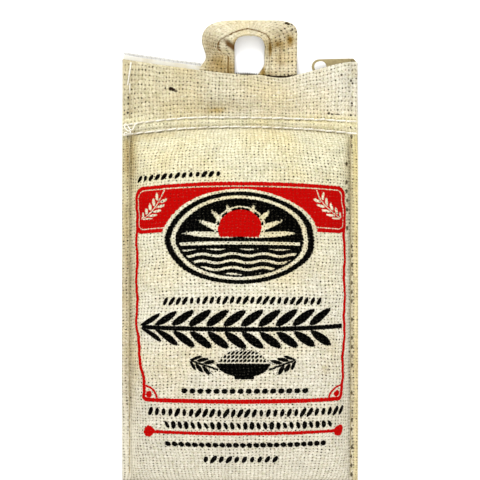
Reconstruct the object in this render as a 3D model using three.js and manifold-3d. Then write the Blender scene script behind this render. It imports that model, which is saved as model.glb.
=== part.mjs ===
// A 900 g bag of rice, lying on its back with the printed front up.
// The sack is coarse cotton sewn shut at both sides, at the foot and, with two rows of white
// thread, above the rice. Over those rows stands an empty header that ends in a zip, and a
// carrying loop of folded cloth comes out of the mouth between the front lip and the zip.
// Millimetres, +Z up, +Y towards the handle, origin on the floor under the middle of the whole.

import * as THREE from "three";
import { mergeVertices } from "three/addons/utils/BufferGeometryUtils.js";
import Module from "manifold-3d";

const wasm = await Module();
wasm.setup();

// Driving dimensions of the whole
const bagWidth = 160;
const overallLength = 324; // foot hem to the top of the handle
const halfWidth = bagWidth / 2;
const footY = -overallLength / 2;
const handleTopY = overallLength / 2;
const touchGap = 0.3; // air between two pieces that touch

// The sewn edges: a line of thread on a narrow flat ledge, and a hem outside it
const seamX = 75;
const ledgeHalf = 1.4;
const fillHalfWidth = seamX - ledgeHalf;
const footSeamY = footY + 10;
const hemThickness = 2.6; // the two cloths with their seam allowance
const hemDroop = 0.6; // the outer edge of a hem hangs this much lower

// The two rows of stitching that close the bag over the rice: height of the arc, and its fall
const upperRow = { crestY: 95.6, crestX: -18, leftFall: 5.8, rightFall: 2.9 };
const lowerRow = { crestY: 89.1, crestX: -3, leftFall: 5.8, rightFall: 4.7 };
const bandPuff = 0.7; // the cloth swells this much between the two rows

// The lip, which is the top edge of the front cloth: it dips under the handle
const lipLow = 123.9;
const lipLeft = { rise: 11.5, start: 13.6, power: 1.3 };
const lipRight = { rise: 9.6, start: 30, run: 48 };
const mouthThickness = 7.6;
const slot = { bottom: 1.6, top: 6.1, depth: 10 };
const backLipSetback = 3; // the back cloth ends lower than the front one

// The filled part
const crownHeight = 27;
const seamLevel = { atEnds: 8.3, rise: 6.5 }; // height of the sewn edge over the floor
const floorReach = 1.9; // how soon the underside comes down to the floor
const fillPower = { across: 3.2, along: 4, edge: 0.5 };
const sidePucker = { height: 0.9, pitch: 27, reach: 9 };
const endPucker = { height: 0.8, pitch: 33, reach: 10 };
const headerWave = { height: 0.8, pitch: 58 };

// How finely the cloth is divided
const columnsAcross = 24;
const rowsAlongFill = 28;
const rowsAlongHeader = 8;

const clamp01 = (t) => Math.min(1, Math.max(0, t));
const smooth = (t) => clamp01(t) ** 2 * (3 - 2 * clamp01(t));
const hump = (t) => (t > 0 && t < 1 ? 16 * t * t * (1 - t) * (1 - t) : 0);

// Arc of a row of stitching: highest at its crest, lower towards each side
function rowY(row, x) {
  const reach = x < row.crestX ? -halfWidth - row.crestX : halfWidth - row.crestX;
  const fall = x < row.crestX ? row.leftFall : row.rightFall;
  return row.crestY - fall * ((x - row.crestX) / reach) ** 2;
}

function lipY(x) {
  const left = clamp01((lipLeft.start - x) / (lipLeft.start + halfWidth)) ** lipLeft.power;
  const right = smooth((x - lipRight.start) / lipRight.run);
  return lipLow + lipLeft.rise * left + lipRight.rise * right;
}

const fillTopY = (x) => rowY(lowerRow, x) - ledgeHalf;
const fillFootY = footSeamY + ledgeHalf;
const headerStartY = (x) => rowY(upperRow, x) + ledgeHalf;

// Where a point lies in the filled part: -1 at the foot seam, 1 at the lower row of stitching
const alongFill = (x, y) => (2 * (y - fillFootY)) / (fillTopY(x) - fillFootY) - 1;

// Where a point lies in the header: 0 at the upper row of stitching, 1 at the lip
const alongHeader = (x, y) => clamp01((y - headerStartY(x)) / (lipY(x) - headerStartY(x)));

// How full the bag is at a point: 0 on every seam, 1 in the middle
function fullness(x, y) {
  const across = Math.abs(x) / fillHalfWidth;
  const along = Math.abs(alongFill(x, y));
  if (across >= 1 || along >= 1) return 0;
  const sides = 1 - across ** fillPower.across;
  const ends = 1 - along ** fillPower.along;
  return (sides * ends) ** fillPower.edge;
}

// Height of the middle of the sewn edge, which the hems and the stitched band share
function sheetLevel(x, y) {
  const along = clamp01(Math.abs(alongFill(x, y)));
  const droop = hemDroop * smooth((Math.abs(x) - seamX - ledgeHalf) / (halfWidth - seamX));
  return seamLevel.atEnds + seamLevel.rise * (1 - along ** 2) ** 0.8 - droop;
}

// A pucker is flat on its seam, highest a reach away from it, and then dies out
function pucker({ height, pitch, reach }, distance, along) {
  if (distance <= 0) return 0;
  const swell = (distance / reach) * Math.exp(1 - distance / reach);
  return height * swell * Math.sin((2 * Math.PI * along) / pitch);
}

function puckers(x, y) {
  const fromSide = fillHalfWidth - Math.abs(x);
  const fromTop = fillTopY(x) - y;
  const fromFoot = y - fillFootY;
  if (fromSide <= 0 || fromTop <= 0 || fromFoot <= 0) return 0;
  const fromEnd = Math.min(fromTop, fromFoot);
  const alongSides = pucker(sidePucker, fromSide, y + Math.sign(x) * 5) * smooth(fromEnd / 20);
  const alongEnds = pucker(endPucker, fromEnd, x + 4) * smooth(fromSide / 20);
  return alongSides + alongEnds;
}

// The header sinks from the stitched band to the floor and thickens towards the mouth
const headerThickness = (h) => THREE.MathUtils.lerp(hemThickness, mouthThickness, smooth((h - 0.1) / 0.45));
const headerBack = (h, start) => start * (1 - smooth(h / 0.7));

function frontZ(x, y) {
  if (alongFill(x, y) <= 1) {
    return sheetLevel(x, y) + hemThickness / 2 + crownHeight * fullness(x, y) + puckers(x, y);
  }
  const h = alongHeader(x, y);
  const start = sheetLevel(x, y) - hemThickness / 2;
  const wave = headerWave.height * Math.cos((2 * Math.PI * (x - 12)) / headerWave.pitch) * hump(h / 0.6);
  const bandSpan = headerStartY(x) - fillTopY(x) - 4 * ledgeHalf;
  const puff = bandPuff * hump((y - fillTopY(x) - 2 * ledgeHalf) / bandSpan);
  return headerBack(h, start) + headerThickness(h) + wave + puff;
}

function backZ(x, y) {
  const start = sheetLevel(x, y) - hemThickness / 2;
  if (alongFill(x, y) > 1) return headerBack(alongHeader(x, y), start);
  return start * (1 - Math.min(1, floorReach * fullness(x, y))) ** 1.4;
}

// Mesh helpers

function meshGeometry(positions, triangles) {
  const geometry = new THREE.BufferGeometry();
  geometry.setAttribute("position", new THREE.Float32BufferAttribute(positions, 3));
  geometry.setIndex(triangles);
  return geometry;
}

// A closed solid between a lower and an upper surface over a grid of columns (x values) and
// rows (functions that give y for an x)
function quilt(columns, rows, lower, upper) {
  const positions = [];
  for (const height of [lower, upper]) {
    for (const row of rows) {
      for (const x of columns) positions.push(x, row(x), height(x, row(x)));
    }
  }
  const across = columns.length;
  const layer = across * rows.length;
  const at = (i, j, top) => (top ? layer : 0) + j * across + i;
  const triangles = [];
  const quad = (a, b, c, d) => triangles.push(a, b, c, a, c, d);
  for (let j = 0; j + 1 < rows.length; j++) {
    for (let i = 0; i + 1 < across; i++) {
      quad(at(i, j, 1), at(i + 1, j, 1), at(i + 1, j + 1, 1), at(i, j + 1, 1));
      quad(at(i, j, 0), at(i, j + 1, 0), at(i + 1, j + 1, 0), at(i + 1, j, 0));
    }
    const last = across - 1;
    quad(at(0, j, 0), at(0, j, 1), at(0, j + 1, 1), at(0, j + 1, 0));
    quad(at(last, j, 0), at(last, j + 1, 0), at(last, j + 1, 1), at(last, j, 1));
  }
  for (let i = 0; i + 1 < across; i++) {
    const last = rows.length - 1;
    quad(at(i, 0, 0), at(i + 1, 0, 0), at(i + 1, 0, 1), at(i, 0, 1));
    quad(at(i, last, 0), at(i, last, 1), at(i + 1, last, 1), at(i + 1, last, 0));
  }
  return meshGeometry(positions, triangles);
}

// A closed solid through a series of rings, each a list of points in the same turning order
function loft(rings) {
  const positions = [];
  for (const ring of rings) for (const p of ring) positions.push(p.x, p.y, p.z);
  const sides = rings[0].length;
  const triangles = [];
  for (let k = 0; k + 1 < rings.length; k++) {
    for (let i = 0; i < sides; i++) {
      const next = (i + 1) % sides;
      const [a, b] = [k * sides + i, k * sides + next];
      triangles.push(a, b, b + sides, a, b + sides, a + sides);
    }
  }
  for (const end of [0, rings.length - 1]) {
    const centre = positions.length / 3;
    const middle = new THREE.Vector3();
    for (const p of rings[end]) middle.addScaledVector(p, 1 / sides);
    positions.push(middle.x, middle.y, middle.z);
    for (let i = 0; i < sides; i++) {
      const [a, b] = [end * sides + i, end * sides + ((i + 1) % sides)];
      if (end === 0) triangles.push(centre, b, a);
      else triangles.push(centre, a, b);
    }
  }
  return meshGeometry(positions, triangles);
}

// Round rings about a path, with a radius for each point
function tube(path, radiusAt, sides) {
  const rings = path.map((point, k) => {
    const ahead = path[Math.min(k + 1, path.length - 1)];
    const behind = path[Math.max(k - 1, 0)];
    const along = ahead.clone().sub(behind).normalize();
    const level = new THREE.Vector3(0, 0, 1).cross(along).normalize();
    const up = along.clone().cross(level);
    return Array.from({ length: sides }, (_, i) => {
      const angle = (2 * Math.PI * (i + 0.5)) / sides;
      return point
        .clone()
        .addScaledVector(level, radiusAt(k) * Math.cos(angle))
        .addScaledVector(up, radiusAt(k) * Math.sin(angle));
    });
  });
  return loft(rings);
}

function solidOf(geometry) {
  const bare = geometry.clone();
  for (const name of Object.keys(bare.attributes)) {
    if (name !== "position") bare.deleteAttribute(name);
  }
  const merged = mergeVertices(bare, 1e-4);
  const vertProperties = merged.attributes.position.array;
  const triVerts = new Uint32Array(merged.index.array);
  return new wasm.Manifold(new wasm.Mesh({ numProp: 3, vertProperties, triVerts }));
}

function geometryOf(solid) {
  const { vertProperties, triVerts } = solid.getMesh();
  return meshGeometry(Array.from(vertProperties), Array.from(triVerts));
}

function piece(name, geometry, material) {
  const mesh = new THREE.Mesh(geometry, material);
  mesh.name = name;
  return mesh;
}

// Evenly spaced values, both ends included
function steps(from, to, count) {
  return Array.from({ length: count + 1 }, (_, k) => from + ((to - from) * k) / count);
}

// Materials
const cottonCloth = new THREE.MeshStandardMaterial({ color: 0xe6dcb6, roughness: 0.95 });
const whiteThread = new THREE.MeshStandardMaterial({ color: 0xf4f0e2, roughness: 0.8 });
const zipNylon = new THREE.MeshStandardMaterial({ color: 0xf1ede0, roughness: 0.5 });
const zipEnamel = new THREE.MeshStandardMaterial({ color: 0xb8a984, roughness: 0.4 });

// Columns of the sack: the hems, the ledge that carries the seam, and the filled cloth, which
// is divided most finely near the seams where it is steepest
function sackColumns() {
  const turns = steps(-Math.PI / 2, Math.PI / 2, columnsAcross);
  const filled = turns.map((turn) => fillHalfWidth * Math.sin(turn));
  const hem = [seamX + ledgeHalf, halfWidth];
  return [...hem.map((x) => -x).reverse(), ...filled, ...hem];
}

// Rows of the sack, from the foot hem to the lip, as functions of x
function sackRows() {
  const shares = steps(-Math.PI / 2, Math.PI / 2, rowsAlongFill).map((turn) => (Math.sin(turn) + 1) / 2);
  const filled = shares.map((share) => (x) => THREE.MathUtils.lerp(fillFootY, fillTopY(x), share));
  const lowerLedge = (x) => rowY(lowerRow, x) + ledgeHalf;
  const upperLedge = (x) => rowY(upperRow, x) - ledgeHalf;
  const header = steps(0, 1, rowsAlongHeader);
  return [
    () => footY,
    () => footSeamY - ledgeHalf,
    ...filled,
    lowerLedge,
    (x) => (lowerLedge(x) + upperLedge(x)) / 2,
    upperLedge,
    ...header.map((h) => (x) => headerStartY(x) + h * (lipY(x) - headerStartY(x))),
  ];
}

// The mouth is a slot between the front and the back lip, where the zip and the handle sit
function sack() {
  const whole = solidOf(quilt(sackColumns(), sackRows(), backZ, frontZ));
  const past = steps(-halfWidth - 2, halfWidth + 2, 32);
  const beyondLip = (x) => lipY(x) + 5;
  const slab = (low, from, to) => solidOf(quilt(past, [low, beyondLip], () => from, () => to));
  const mouth = slab((x) => lipY(x) - slot.depth, slot.bottom, slot.top);
  const setback = slab((x) => lipY(x) - backLipSetback, -5, slot.bottom + touchGap);
  return geometryOf(whole.subtract(mouth).subtract(setback));
}

// The zip

const tape = { bottom: slot.bottom + touchGap, thickness: 1.1, depth: 7, hidden: -2.6 };
const tapeShows = { left: 5.6, leftStart: -5, leftRun: 22, right: 2.2, rightStart: 52 };
const teeth = { radius: 1.1, neckRadius: 0.8, pitch: 3, sides: 6, centreZ: 1.9 };
const slider = { x: 74.2, length: 3, headRadius: 2.6, tailRadius: 1.8, thickness: 1.8 };
const zipEndX = slider.x - slider.headRadius - touchGap;

// The zip stays behind the lip in the middle and comes out above it left of the handle
function tapeEdgeY(x) {
  const left = smooth((tapeShows.leftStart - x) / tapeShows.leftRun);
  const right = smooth((x - tapeShows.rightStart) / (halfWidth - tapeShows.rightStart));
  return lipY(x) + tape.hidden + tapeShows.left * left + tapeShows.right * right;
}

function zipTape() {
  const columns = steps(-halfWidth + 0.5, zipEndX, 40);
  const low = (x) => lipY(x) - tape.depth;
  const [bottom, top] = [tape.bottom, tape.bottom + tape.thickness];
  return quilt(columns, [low, tapeEdgeY], () => bottom, () => top);
}

// A rod with a neck between every two teeth
function zipTeeth() {
  const count = 2 * Math.round((zipEndX + halfWidth - 1) / teeth.pitch);
  const path = steps(-halfWidth + 0.8, zipEndX, count).map(
    (x) => new THREE.Vector3(x, tapeEdgeY(x) + touchGap + teeth.radius, teeth.centreZ),
  );
  return tube(path, (k) => (k % 2 ? teeth.radius : teeth.neckRadius), teeth.sides);
}

// The pull lies along the closed zip: a tapered tab with an oval hole at its free end and a
// small eye round the slider's post
const pull = { eye: [76.5, 134.2], tip: [53.9, 130.2], tipRadius: 5.1, eyeRadius: 1.6, thickness: 1.4 };
const pullHole = { halfLength: 0.5, radius: 3.6, offset: 0.8, eyeRadius: 0.9 };
const pullBottom = tape.bottom + slider.thickness + touchGap;
const post = { radius: pullHole.eyeRadius - touchGap, top: pullBottom + pull.thickness };

// Outline of two circles joined by their common tangents, about a line along +X
function tabOutline(length, eyeRadius, tipRadius) {
  const lean = Math.asin((tipRadius - eyeRadius) / length);
  const outline = new THREE.Shape();
  outline.absarc(0, 0, eyeRadius, -Math.PI / 2 + lean, Math.PI / 2 - lean, false);
  outline.absarc(-length, 0, tipRadius, Math.PI / 2 - lean, (3 * Math.PI) / 2 + lean, false);
  outline.closePath();
  return outline;
}

function zipPull() {
  const [eyeX, eyeY] = pull.eye;
  const along = new THREE.Vector2(eyeX - pull.tip[0], eyeY - pull.tip[1]);
  const outline = tabOutline(along.length(), pull.eyeRadius, pull.tipRadius);
  const eyeHole = new THREE.Path();
  eyeHole.absarc(0, 0, pullHole.eyeRadius, 0, 2 * Math.PI, true);
  const hole = new THREE.Path();
  const holeX = pullHole.offset - along.length();
  hole.absarc(holeX - pullHole.halfLength, 0, pullHole.radius, -Math.PI / 2, Math.PI / 2, true);
  hole.absarc(holeX + pullHole.halfLength, 0, pullHole.radius, Math.PI / 2, -Math.PI / 2, true);
  hole.closePath();
  outline.holes.push(eyeHole, hole);
  const options = { depth: pull.thickness, bevelEnabled: false, curveSegments: 8 };
  const geometry = new THREE.ExtrudeGeometry(outline, options);
  geometry.rotateZ(along.angle());
  geometry.translate(eyeX, eyeY, pullBottom);
  return geometry;
}

// The slider closes the zip at its right-hand end: a tapered body with a post for the pull
function zipSlider() {
  const outline = tabOutline(slider.length, slider.tailRadius, slider.headRadius);
  const options = { depth: slider.thickness, bevelEnabled: false, curveSegments: 8 };
  const body = new THREE.ExtrudeGeometry(outline, options);
  body.translate(slider.x + slider.length, lipY(slider.x), tape.bottom);
  const postHeight = post.top - tape.bottom;
  const stem = new THREE.CylinderGeometry(post.radius, post.radius, postHeight, 10);
  stem.rotateX(Math.PI / 2);
  stem.translate(pull.eye[0], pull.eye[1], tape.bottom + postHeight / 2);
  return geometryOf(solidOf(body).add(solidOf(stem)));
}

// The handle: a folded strap that comes out of the mouth, turns over in an arch and goes back
// in. Its outer edge stays low and its inner edge stands up where the strap is forced round.

const strap = { centreX: 6.5, outerHalf: 32.3, innerHalf: 10.1, legEndY: 119.6, leftWaist: 2.3 };
const strapLean = 1.27; // the leaning strap reaches this far past its outer edge
const outerArch = { baseY: 142, topY: handleTopY - strapLean, squareness: 4 };
const innerArch = { baseY: 141, topY: 150.5, squareness: 3 };
const strapRise = { inMouth: slot.bottom + tape.thickness + 2 * touchGap, onFloor: 0.3, innerLift: 10.5 };
const legSteps = 7;
const archSteps = 26;

// Section of the strap, from its outer edge (0) to its inner edge (1): the free edge of the
// folded cloth makes a step near the inner edge
const fold = 0.73;
const strapSection = [
  [0, 1.8],
  [0.05, 2.3],
  [0.35, 2.4],
  [fold, 2.4],
  [fold + 0.02, 1.7],
  [0.95, 1.7],
  [1, 1.2],
  [1, 0.5],
  [0.95, 0],
  [0.5, 0],
  [0.05, 0],
  [0, 0.6],
];

function archPoint({ baseY, topY, squareness }, half, turn) {
  const [c, s] = [Math.cos(turn), Math.max(0, Math.sin(turn))];
  const x = strap.centreX + half * Math.sign(c) * Math.abs(c) ** (2 / squareness);
  return new THREE.Vector3(x, baseY + (topY - baseY) * s ** (2 / squareness), 0);
}

// The strap's two edges at each station: up the left leg, over the arch, down the right leg.
// The left leg is pinched in a little below the arch.
function strapEdges() {
  const edges = [];
  const leg = (side, k) => {
    const share = k / legSteps;
    const pinch = side < 0 ? strap.leftWaist * (1 - smooth(2 * share - 1)) : 0;
    const at = (arch, half) => {
      const y = THREE.MathUtils.lerp(strap.legEndY, arch.baseY, share);
      return new THREE.Vector3(strap.centreX + side * half, y, 0);
    };
    return [at(outerArch, strap.outerHalf - pinch), at(innerArch, strap.innerHalf)];
  };
  for (let k = 0; k < legSteps; k++) edges.push(leg(-1, k));
  for (const turn of steps(Math.PI, 0, archSteps)) {
    edges.push([archPoint(outerArch, strap.outerHalf, turn), archPoint(innerArch, strap.innerHalf, turn)]);
  }
  for (let k = legSteps - 1; k >= 0; k--) edges.push(leg(1, k));
  return edges;
}

function handle() {
  const edges = strapEdges();
  for (const [outer, inner] of edges) {
    const leaving = smooth((outer.y - lipY(strap.centreX) - 4) / 14);
    const floorward = THREE.MathUtils.lerp(strapRise.inMouth, strapRise.onFloor, leaving);
    const over = smooth((inner.y - innerArch.baseY + 4) / (innerArch.topY - innerArch.baseY + 4));
    outer.z = floorward;
    inner.z = floorward + strapRise.innerLift * over;
  }
  const rings = edges.map(([outer, inner], k) => {
    const ahead = edges[Math.min(k + 1, edges.length - 1)];
    const behind = edges[Math.max(k - 1, 0)];
    const along = ahead[0].clone().add(ahead[1]).sub(behind[0]).sub(behind[1]);
    const across = inner.clone().sub(outer);
    const normal = across.clone().cross(along).normalize();
    return strapSection.map(([share, rise]) =>
      outer.clone().addScaledVector(across, share).addScaledVector(normal, rise),
    );
  });
  return loft(rings);
}

// Threads lie on the ledges, a touch above the cloth, and swell at every stitch

const thread = { radius: 0.6, waist: 0.42, sides: 6, step: 2.4 };
const threadLift = touchGap + 0.05 + thread.radius;
const stitchRadius = (k) => (k % 2 ? thread.radius : thread.waist);

function rowThread(row) {
  const count = Math.round((bagWidth - 2) / thread.step);
  const path = steps(-halfWidth + 1, halfWidth - 1, count).map((x) => {
    const y = rowY(row, x);
    return new THREE.Vector3(x, y, frontZ(x, y) + threadLift);
  });
  return tube(path, stitchRadius, thread.sides);
}

// A side seam's thread follows the flat pieces of cloth between the sack's rows, and passes
// over the two rows of stitching
const rowCrossing = 2 * thread.radius + 0.1;

function sideThread(x) {
  const start = footSeamY + 3;
  const stations = sackRows()
    .map((row) => row(x))
    .filter((y) => y > start && y < lipY(x) - 1);
  const path = [];
  stations.forEach((y, k) => {
    if (k === 0) return;
    const from = stations[k - 1];
    const pieces = Math.max(1, Math.round((y - from) / (2 * thread.step)));
    for (const share of steps(0, 1, pieces).slice(k === 1 ? 0 : 1)) {
      const along = THREE.MathUtils.lerp(from, y, share);
      const height = THREE.MathUtils.lerp(frontZ(x, from), frontZ(x, y), share);
      const onBand = along > fillTopY(x) - 0.1 && along < headerStartY(x) + 0.1;
      path.push(new THREE.Vector3(x, along, height + threadLift + (onBand ? rowCrossing : 0)));
    }
  });
  return tube(path, stitchRadius, thread.sides);
}

function footThread() {
  const reach = seamX + 3;
  const path = steps(-reach, reach, Math.round((2 * reach) / thread.step)).map(
    (x) => new THREE.Vector3(x, footSeamY, frontZ(x, footSeamY) + threadLift),
  );
  return tube(path, stitchRadius, thread.sides);
}

// The loose end of the closing thread: it leaves the upper row at the left-hand side and
// zigzags down over the band between the rows, on top of the side seam's thread
function threadTail() {
  const bandTop = seamLevel.atEnds + hemThickness / 2 + bandPuff;
  const level = bandTop + threadLift + rowCrossing + thread.radius + thread.waist + 0.1;
  const route = new THREE.CatmullRomCurve3([
    new THREE.Vector3(-69.6, 90.5, level - 1.2),
    new THREE.Vector3(-74.1, 89.6, level),
    new THREE.Vector3(-77.5, 90.6, level),
    new THREE.Vector3(-76.2, 88.4, level),
    new THREE.Vector3(-72.4, 86.8, level),
    new THREE.Vector3(-73.6, 85, level),
    new THREE.Vector3(-76.8, 86.2, level),
    new THREE.Vector3(-78.4, 84.6, level - 0.6),
  ]);
  return tube(route.getPoints(28), () => thread.waist, 5);
}

const group = new THREE.Group();
group.add(
  piece("sack", sack(), cottonCloth),
  piece("handle", handle(), cottonCloth),
  piece("zip_tape", zipTape(), zipNylon),
  piece("zip_teeth", zipTeeth(), zipNylon),
  piece("zip_slider", zipSlider(), zipNylon),
  piece("zip_pull", zipPull(), zipEnamel),
  piece("closing_thread_upper", rowThread(upperRow), whiteThread),
  piece("closing_thread_lower", rowThread(lowerRow), whiteThread),
  piece("side_thread_left", sideThread(-seamX), whiteThread),
  piece("side_thread_right", sideThread(seamX), whiteThread),
  piece("foot_thread", footThread(), whiteThread),
  piece("thread_tail", threadTail(), whiteThread),
);

export default group;
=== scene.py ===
import bisect
import math

import bpy
from mathutils import Matrix, Vector, geometry, noise


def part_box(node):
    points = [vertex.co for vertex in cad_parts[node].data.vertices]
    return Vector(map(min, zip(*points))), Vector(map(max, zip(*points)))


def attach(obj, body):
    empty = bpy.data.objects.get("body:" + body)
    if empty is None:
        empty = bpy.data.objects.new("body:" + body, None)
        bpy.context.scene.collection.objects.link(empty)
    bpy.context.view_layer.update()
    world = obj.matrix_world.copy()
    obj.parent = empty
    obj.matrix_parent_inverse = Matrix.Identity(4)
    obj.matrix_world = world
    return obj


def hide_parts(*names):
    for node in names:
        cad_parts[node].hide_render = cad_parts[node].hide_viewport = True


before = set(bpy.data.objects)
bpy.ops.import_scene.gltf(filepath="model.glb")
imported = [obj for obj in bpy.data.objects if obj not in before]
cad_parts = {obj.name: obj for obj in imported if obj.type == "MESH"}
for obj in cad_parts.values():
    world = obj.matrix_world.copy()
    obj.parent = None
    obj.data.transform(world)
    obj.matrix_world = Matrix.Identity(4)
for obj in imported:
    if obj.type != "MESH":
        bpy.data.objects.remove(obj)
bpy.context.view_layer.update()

MM = 0.001

# Sizes of the sack, in millimetres, as the solids have them

SACK_LOW, SACK_HIGH = (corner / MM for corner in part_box("sack"))
HALF_WIDTH = SACK_HIGH.x
FOOT_Y = SACK_LOW.y
SEAM_X = HALF_WIDTH - 5
LEDGE = 1.4
FILL_HALF = SEAM_X - LEDGE
FOOT_SEAM_Y = FOOT_Y + 10
FILL_FOOT_Y = FOOT_SEAM_Y + LEDGE
HEM = 2.6
HEM_DROOP = 0.6
SEAM_LEVEL_ENDS = 8.3
SEAM_LEVEL_RISE = 6.5
CROWN = SACK_HIGH.z - SEAM_LEVEL_ENDS - SEAM_LEVEL_RISE - HEM / 2
MOUTH = 7.6
SLOT_LOW, SLOT_HIGH, SLOT_DEPTH = 1.6, 6.1, 10
BACK_LIP_SETBACK = 3
LIP_LOW = 123.9

# Each row of stitching: the height of its arc, where that is, and its fall to the left and right
UPPER_ROW = (95.6, -18, 5.8, 2.9)
LOWER_ROW = (89.1, -3, 5.8, 4.7)


def clamp(value, low=0.0, high=1.0):
    return min(high, max(low, value))


def smooth(value):
    value = clamp(value)
    return value * value * (3 - 2 * value)


def hump(value):
    return 16 * (value * (1 - value)) ** 2 if 0 < value < 1 else 0.0


def mix(a, b, share):
    return a + (b - a) * share


def row_y(row, x):
    """Height of a row of stitching at x: an arc that falls towards both sides."""
    crest_y, crest_x, left_fall, right_fall = row
    reach = -HALF_WIDTH - crest_x if x < crest_x else HALF_WIDTH - crest_x
    fall = left_fall if x < crest_x else right_fall
    return crest_y - fall * ((x - crest_x) / reach) ** 2


def lip_y(x):
    """The front lip of the mouth, which dips under the handle."""
    left = 11.5 * clamp((13.6 - x) / (13.6 + HALF_WIDTH)) ** 1.3
    right = 9.6 * smooth((x - 30) / 48)
    under_handle = 1.0 * hump((x + 6) / 26) - 1.3 * hump((x - 15) / 26)
    return LIP_LOW + left + right + under_handle


def fill_top_y(x):
    return row_y(LOWER_ROW, x) - LEDGE


def header_start_y(x):
    return row_y(UPPER_ROW, x) + LEDGE


def along_fill(x, y):
    """-1 at the foot seam, 1 at the lower row of stitching."""
    return 2 * (y - FILL_FOOT_Y) / (fill_top_y(x) - FILL_FOOT_Y) - 1


def along_header(x, y):
    return clamp((y - header_start_y(x)) / (lip_y(x) - header_start_y(x)))


def fullness(x, y):
    """0 on the seams, 1 over the middle of the rice."""
    across, along = abs(x) / FILL_HALF, abs(along_fill(x, y))
    if across >= 1 or along >= 1:
        return 0.0
    return math.sqrt((1 - across ** 3.2) * (1 - along ** 4))


def sheet_level(x, y):
    """Height of the middle of the hems and of the stitched band."""
    along = clamp(abs(along_fill(x, y)))
    droop = HEM_DROOP * smooth((abs(x) - SEAM_X - LEDGE) / (HALF_WIDTH - SEAM_X))
    return SEAM_LEVEL_ENDS + SEAM_LEVEL_RISE * (1 - along ** 2) ** 0.8 - droop


def pucker(height, pitch, reach, distance, along):
    """A fold that is flat on its seam, highest a reach away from it, and then dies out."""
    if distance <= 0:
        return 0.0
    swell = distance / reach * math.exp(1 - distance / reach)
    return height * swell * math.sin(2 * math.pi * along / pitch)


def coarse_puckers(x, y):
    """The broad folds that the solids have too."""
    from_side = FILL_HALF - abs(x)
    from_end = min(fill_top_y(x) - y, y - FILL_FOOT_Y)
    if from_side <= 0 or from_end <= 0:
        return 0.0
    sides = pucker(0.9, 27, 9, from_side, y + math.copysign(5, x)) * smooth(from_end / 20)
    ends = pucker(0.8, 33, 10, from_end, x + 4) * smooth(from_side / 20)
    return sides + ends


def header_back(h, start):
    return start * (1 - smooth(h / 0.7))


def header_thickness(h):
    return mix(HEM, MOUTH, smooth((h - 0.1) / 0.45))


def front_z(x, y):
    if along_fill(x, y) <= 1:
        return sheet_level(x, y) + HEM / 2 + CROWN * fullness(x, y) + coarse_puckers(x, y)
    h = along_header(x, y)
    start = sheet_level(x, y) - HEM / 2
    wave = 0.8 * math.cos(2 * math.pi * (x - 12) / 58) * hump(h / 0.6)
    band = header_start_y(x) - fill_top_y(x) - 4 * LEDGE
    puff = 0.7 * hump((y - fill_top_y(x) - 2 * LEDGE) / band)
    return header_back(h, start) + header_thickness(h) + wave + puff


def back_z(x, y):
    start = sheet_level(x, y) - HEM / 2
    if along_fill(x, y) > 1:
        return header_back(along_header(x, y), start)
    return start * (1 - min(1, 1.9 * fullness(x, y))) ** 1.4


# Modelling helpers


def deselect():
    if bpy.context.object and bpy.context.object.mode == "EDIT":
        bpy.ops.object.mode_set(mode="OBJECT")
    bpy.ops.object.select_all(action="DESELECT")


def take(piece):
    """Makes the piece the only selected and active object."""
    deselect()
    piece.select_set(True)
    bpy.context.view_layer.objects.active = piece
    return piece


def named(piece, name):
    piece.name = name
    piece.data.name = name
    return piece


def edit(piece, *steps):
    """Runs edit-mode steps on all of the piece's mesh."""
    take(piece)
    bpy.ops.object.mode_set(mode="EDIT")
    bpy.ops.mesh.select_all(action="SELECT")
    for step in steps:
        step()
    bpy.ops.object.mode_set(mode="OBJECT")
    return piece


def outward():
    bpy.ops.mesh.select_all(action="SELECT")
    bpy.ops.mesh.normals_make_consistent(inside=False)


def close_end(piece, at_end):
    """Fills the open end whose points pass the test, which gets them in millimetres."""
    take(piece)
    bpy.ops.object.mode_set(mode="EDIT")
    bpy.ops.mesh.select_mode(type="VERT")
    bpy.ops.mesh.select_all(action="DESELECT")
    bpy.ops.object.mode_set(mode="OBJECT")
    for vertex in piece.data.vertices:
        vertex.select = at_end(vertex.co / MM)
    bpy.ops.object.mode_set(mode="EDIT")
    bpy.ops.mesh.fill()
    bpy.ops.object.mode_set(mode="OBJECT")


def weld(distance):
    def step():
        bpy.ops.mesh.select_all(action="SELECT")
        bpy.ops.mesh.remove_doubles(threshold=distance)

    return step


def soften(piece, angle=40):
    take(piece)
    bpy.ops.object.shade_smooth_by_angle(angle=math.radians(angle))
    return piece


def joined(pieces, name):
    deselect()
    for piece in pieces:
        piece.select_set(True)
    bpy.context.view_layer.objects.active = pieces[0]
    bpy.ops.object.join()
    return named(pieces[0], name)


def copied(piece):
    """A copy of the piece with its own mesh."""
    copy = piece.copy()
    copy.data = piece.data.copy()
    bpy.context.collection.objects.link(copy)
    return copy


def shaped_sheet(name, columns, rows, place, cloth_place):
    """A grid of cloth with columns + 1 by rows + 1 points. place gives each point in millimetres by
    its column and row, and cloth_place gives the same point on the flat cloth, in millimetres."""
    deselect()
    bpy.ops.mesh.primitive_grid_add(x_subdivisions=columns, y_subdivisions=rows, size=1)
    sheet = named(bpy.context.object, name)
    spots = []
    for vertex in sheet.data.vertices:
        spots.append((round((vertex.co.x + 0.5) * columns), round((vertex.co.y + 0.5) * rows)))
    uv = sheet.data.uv_layers[0]
    uv.name = "cloth"
    flat = {spot: cloth_place(*spot) for spot in set(spots)}
    for loop in sheet.data.loops:
        uv.data[loop.index].uv = [c * MM for c in flat[spots[loop.vertex_index]]]
    for vertex, spot in zip(sheet.data.vertices, spots):
        vertex.co = Vector(place(*spot)) * MM
    return sheet


def paint(piece, name, value_at):
    """A number for every point of the mesh, which a finish reads by its name."""
    layer = piece.data.attributes.new(name, "FLOAT", "POINT")
    for vertex in piece.data.vertices:
        layer.data[vertex.index].value = value_at(vertex.co / MM)


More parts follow.
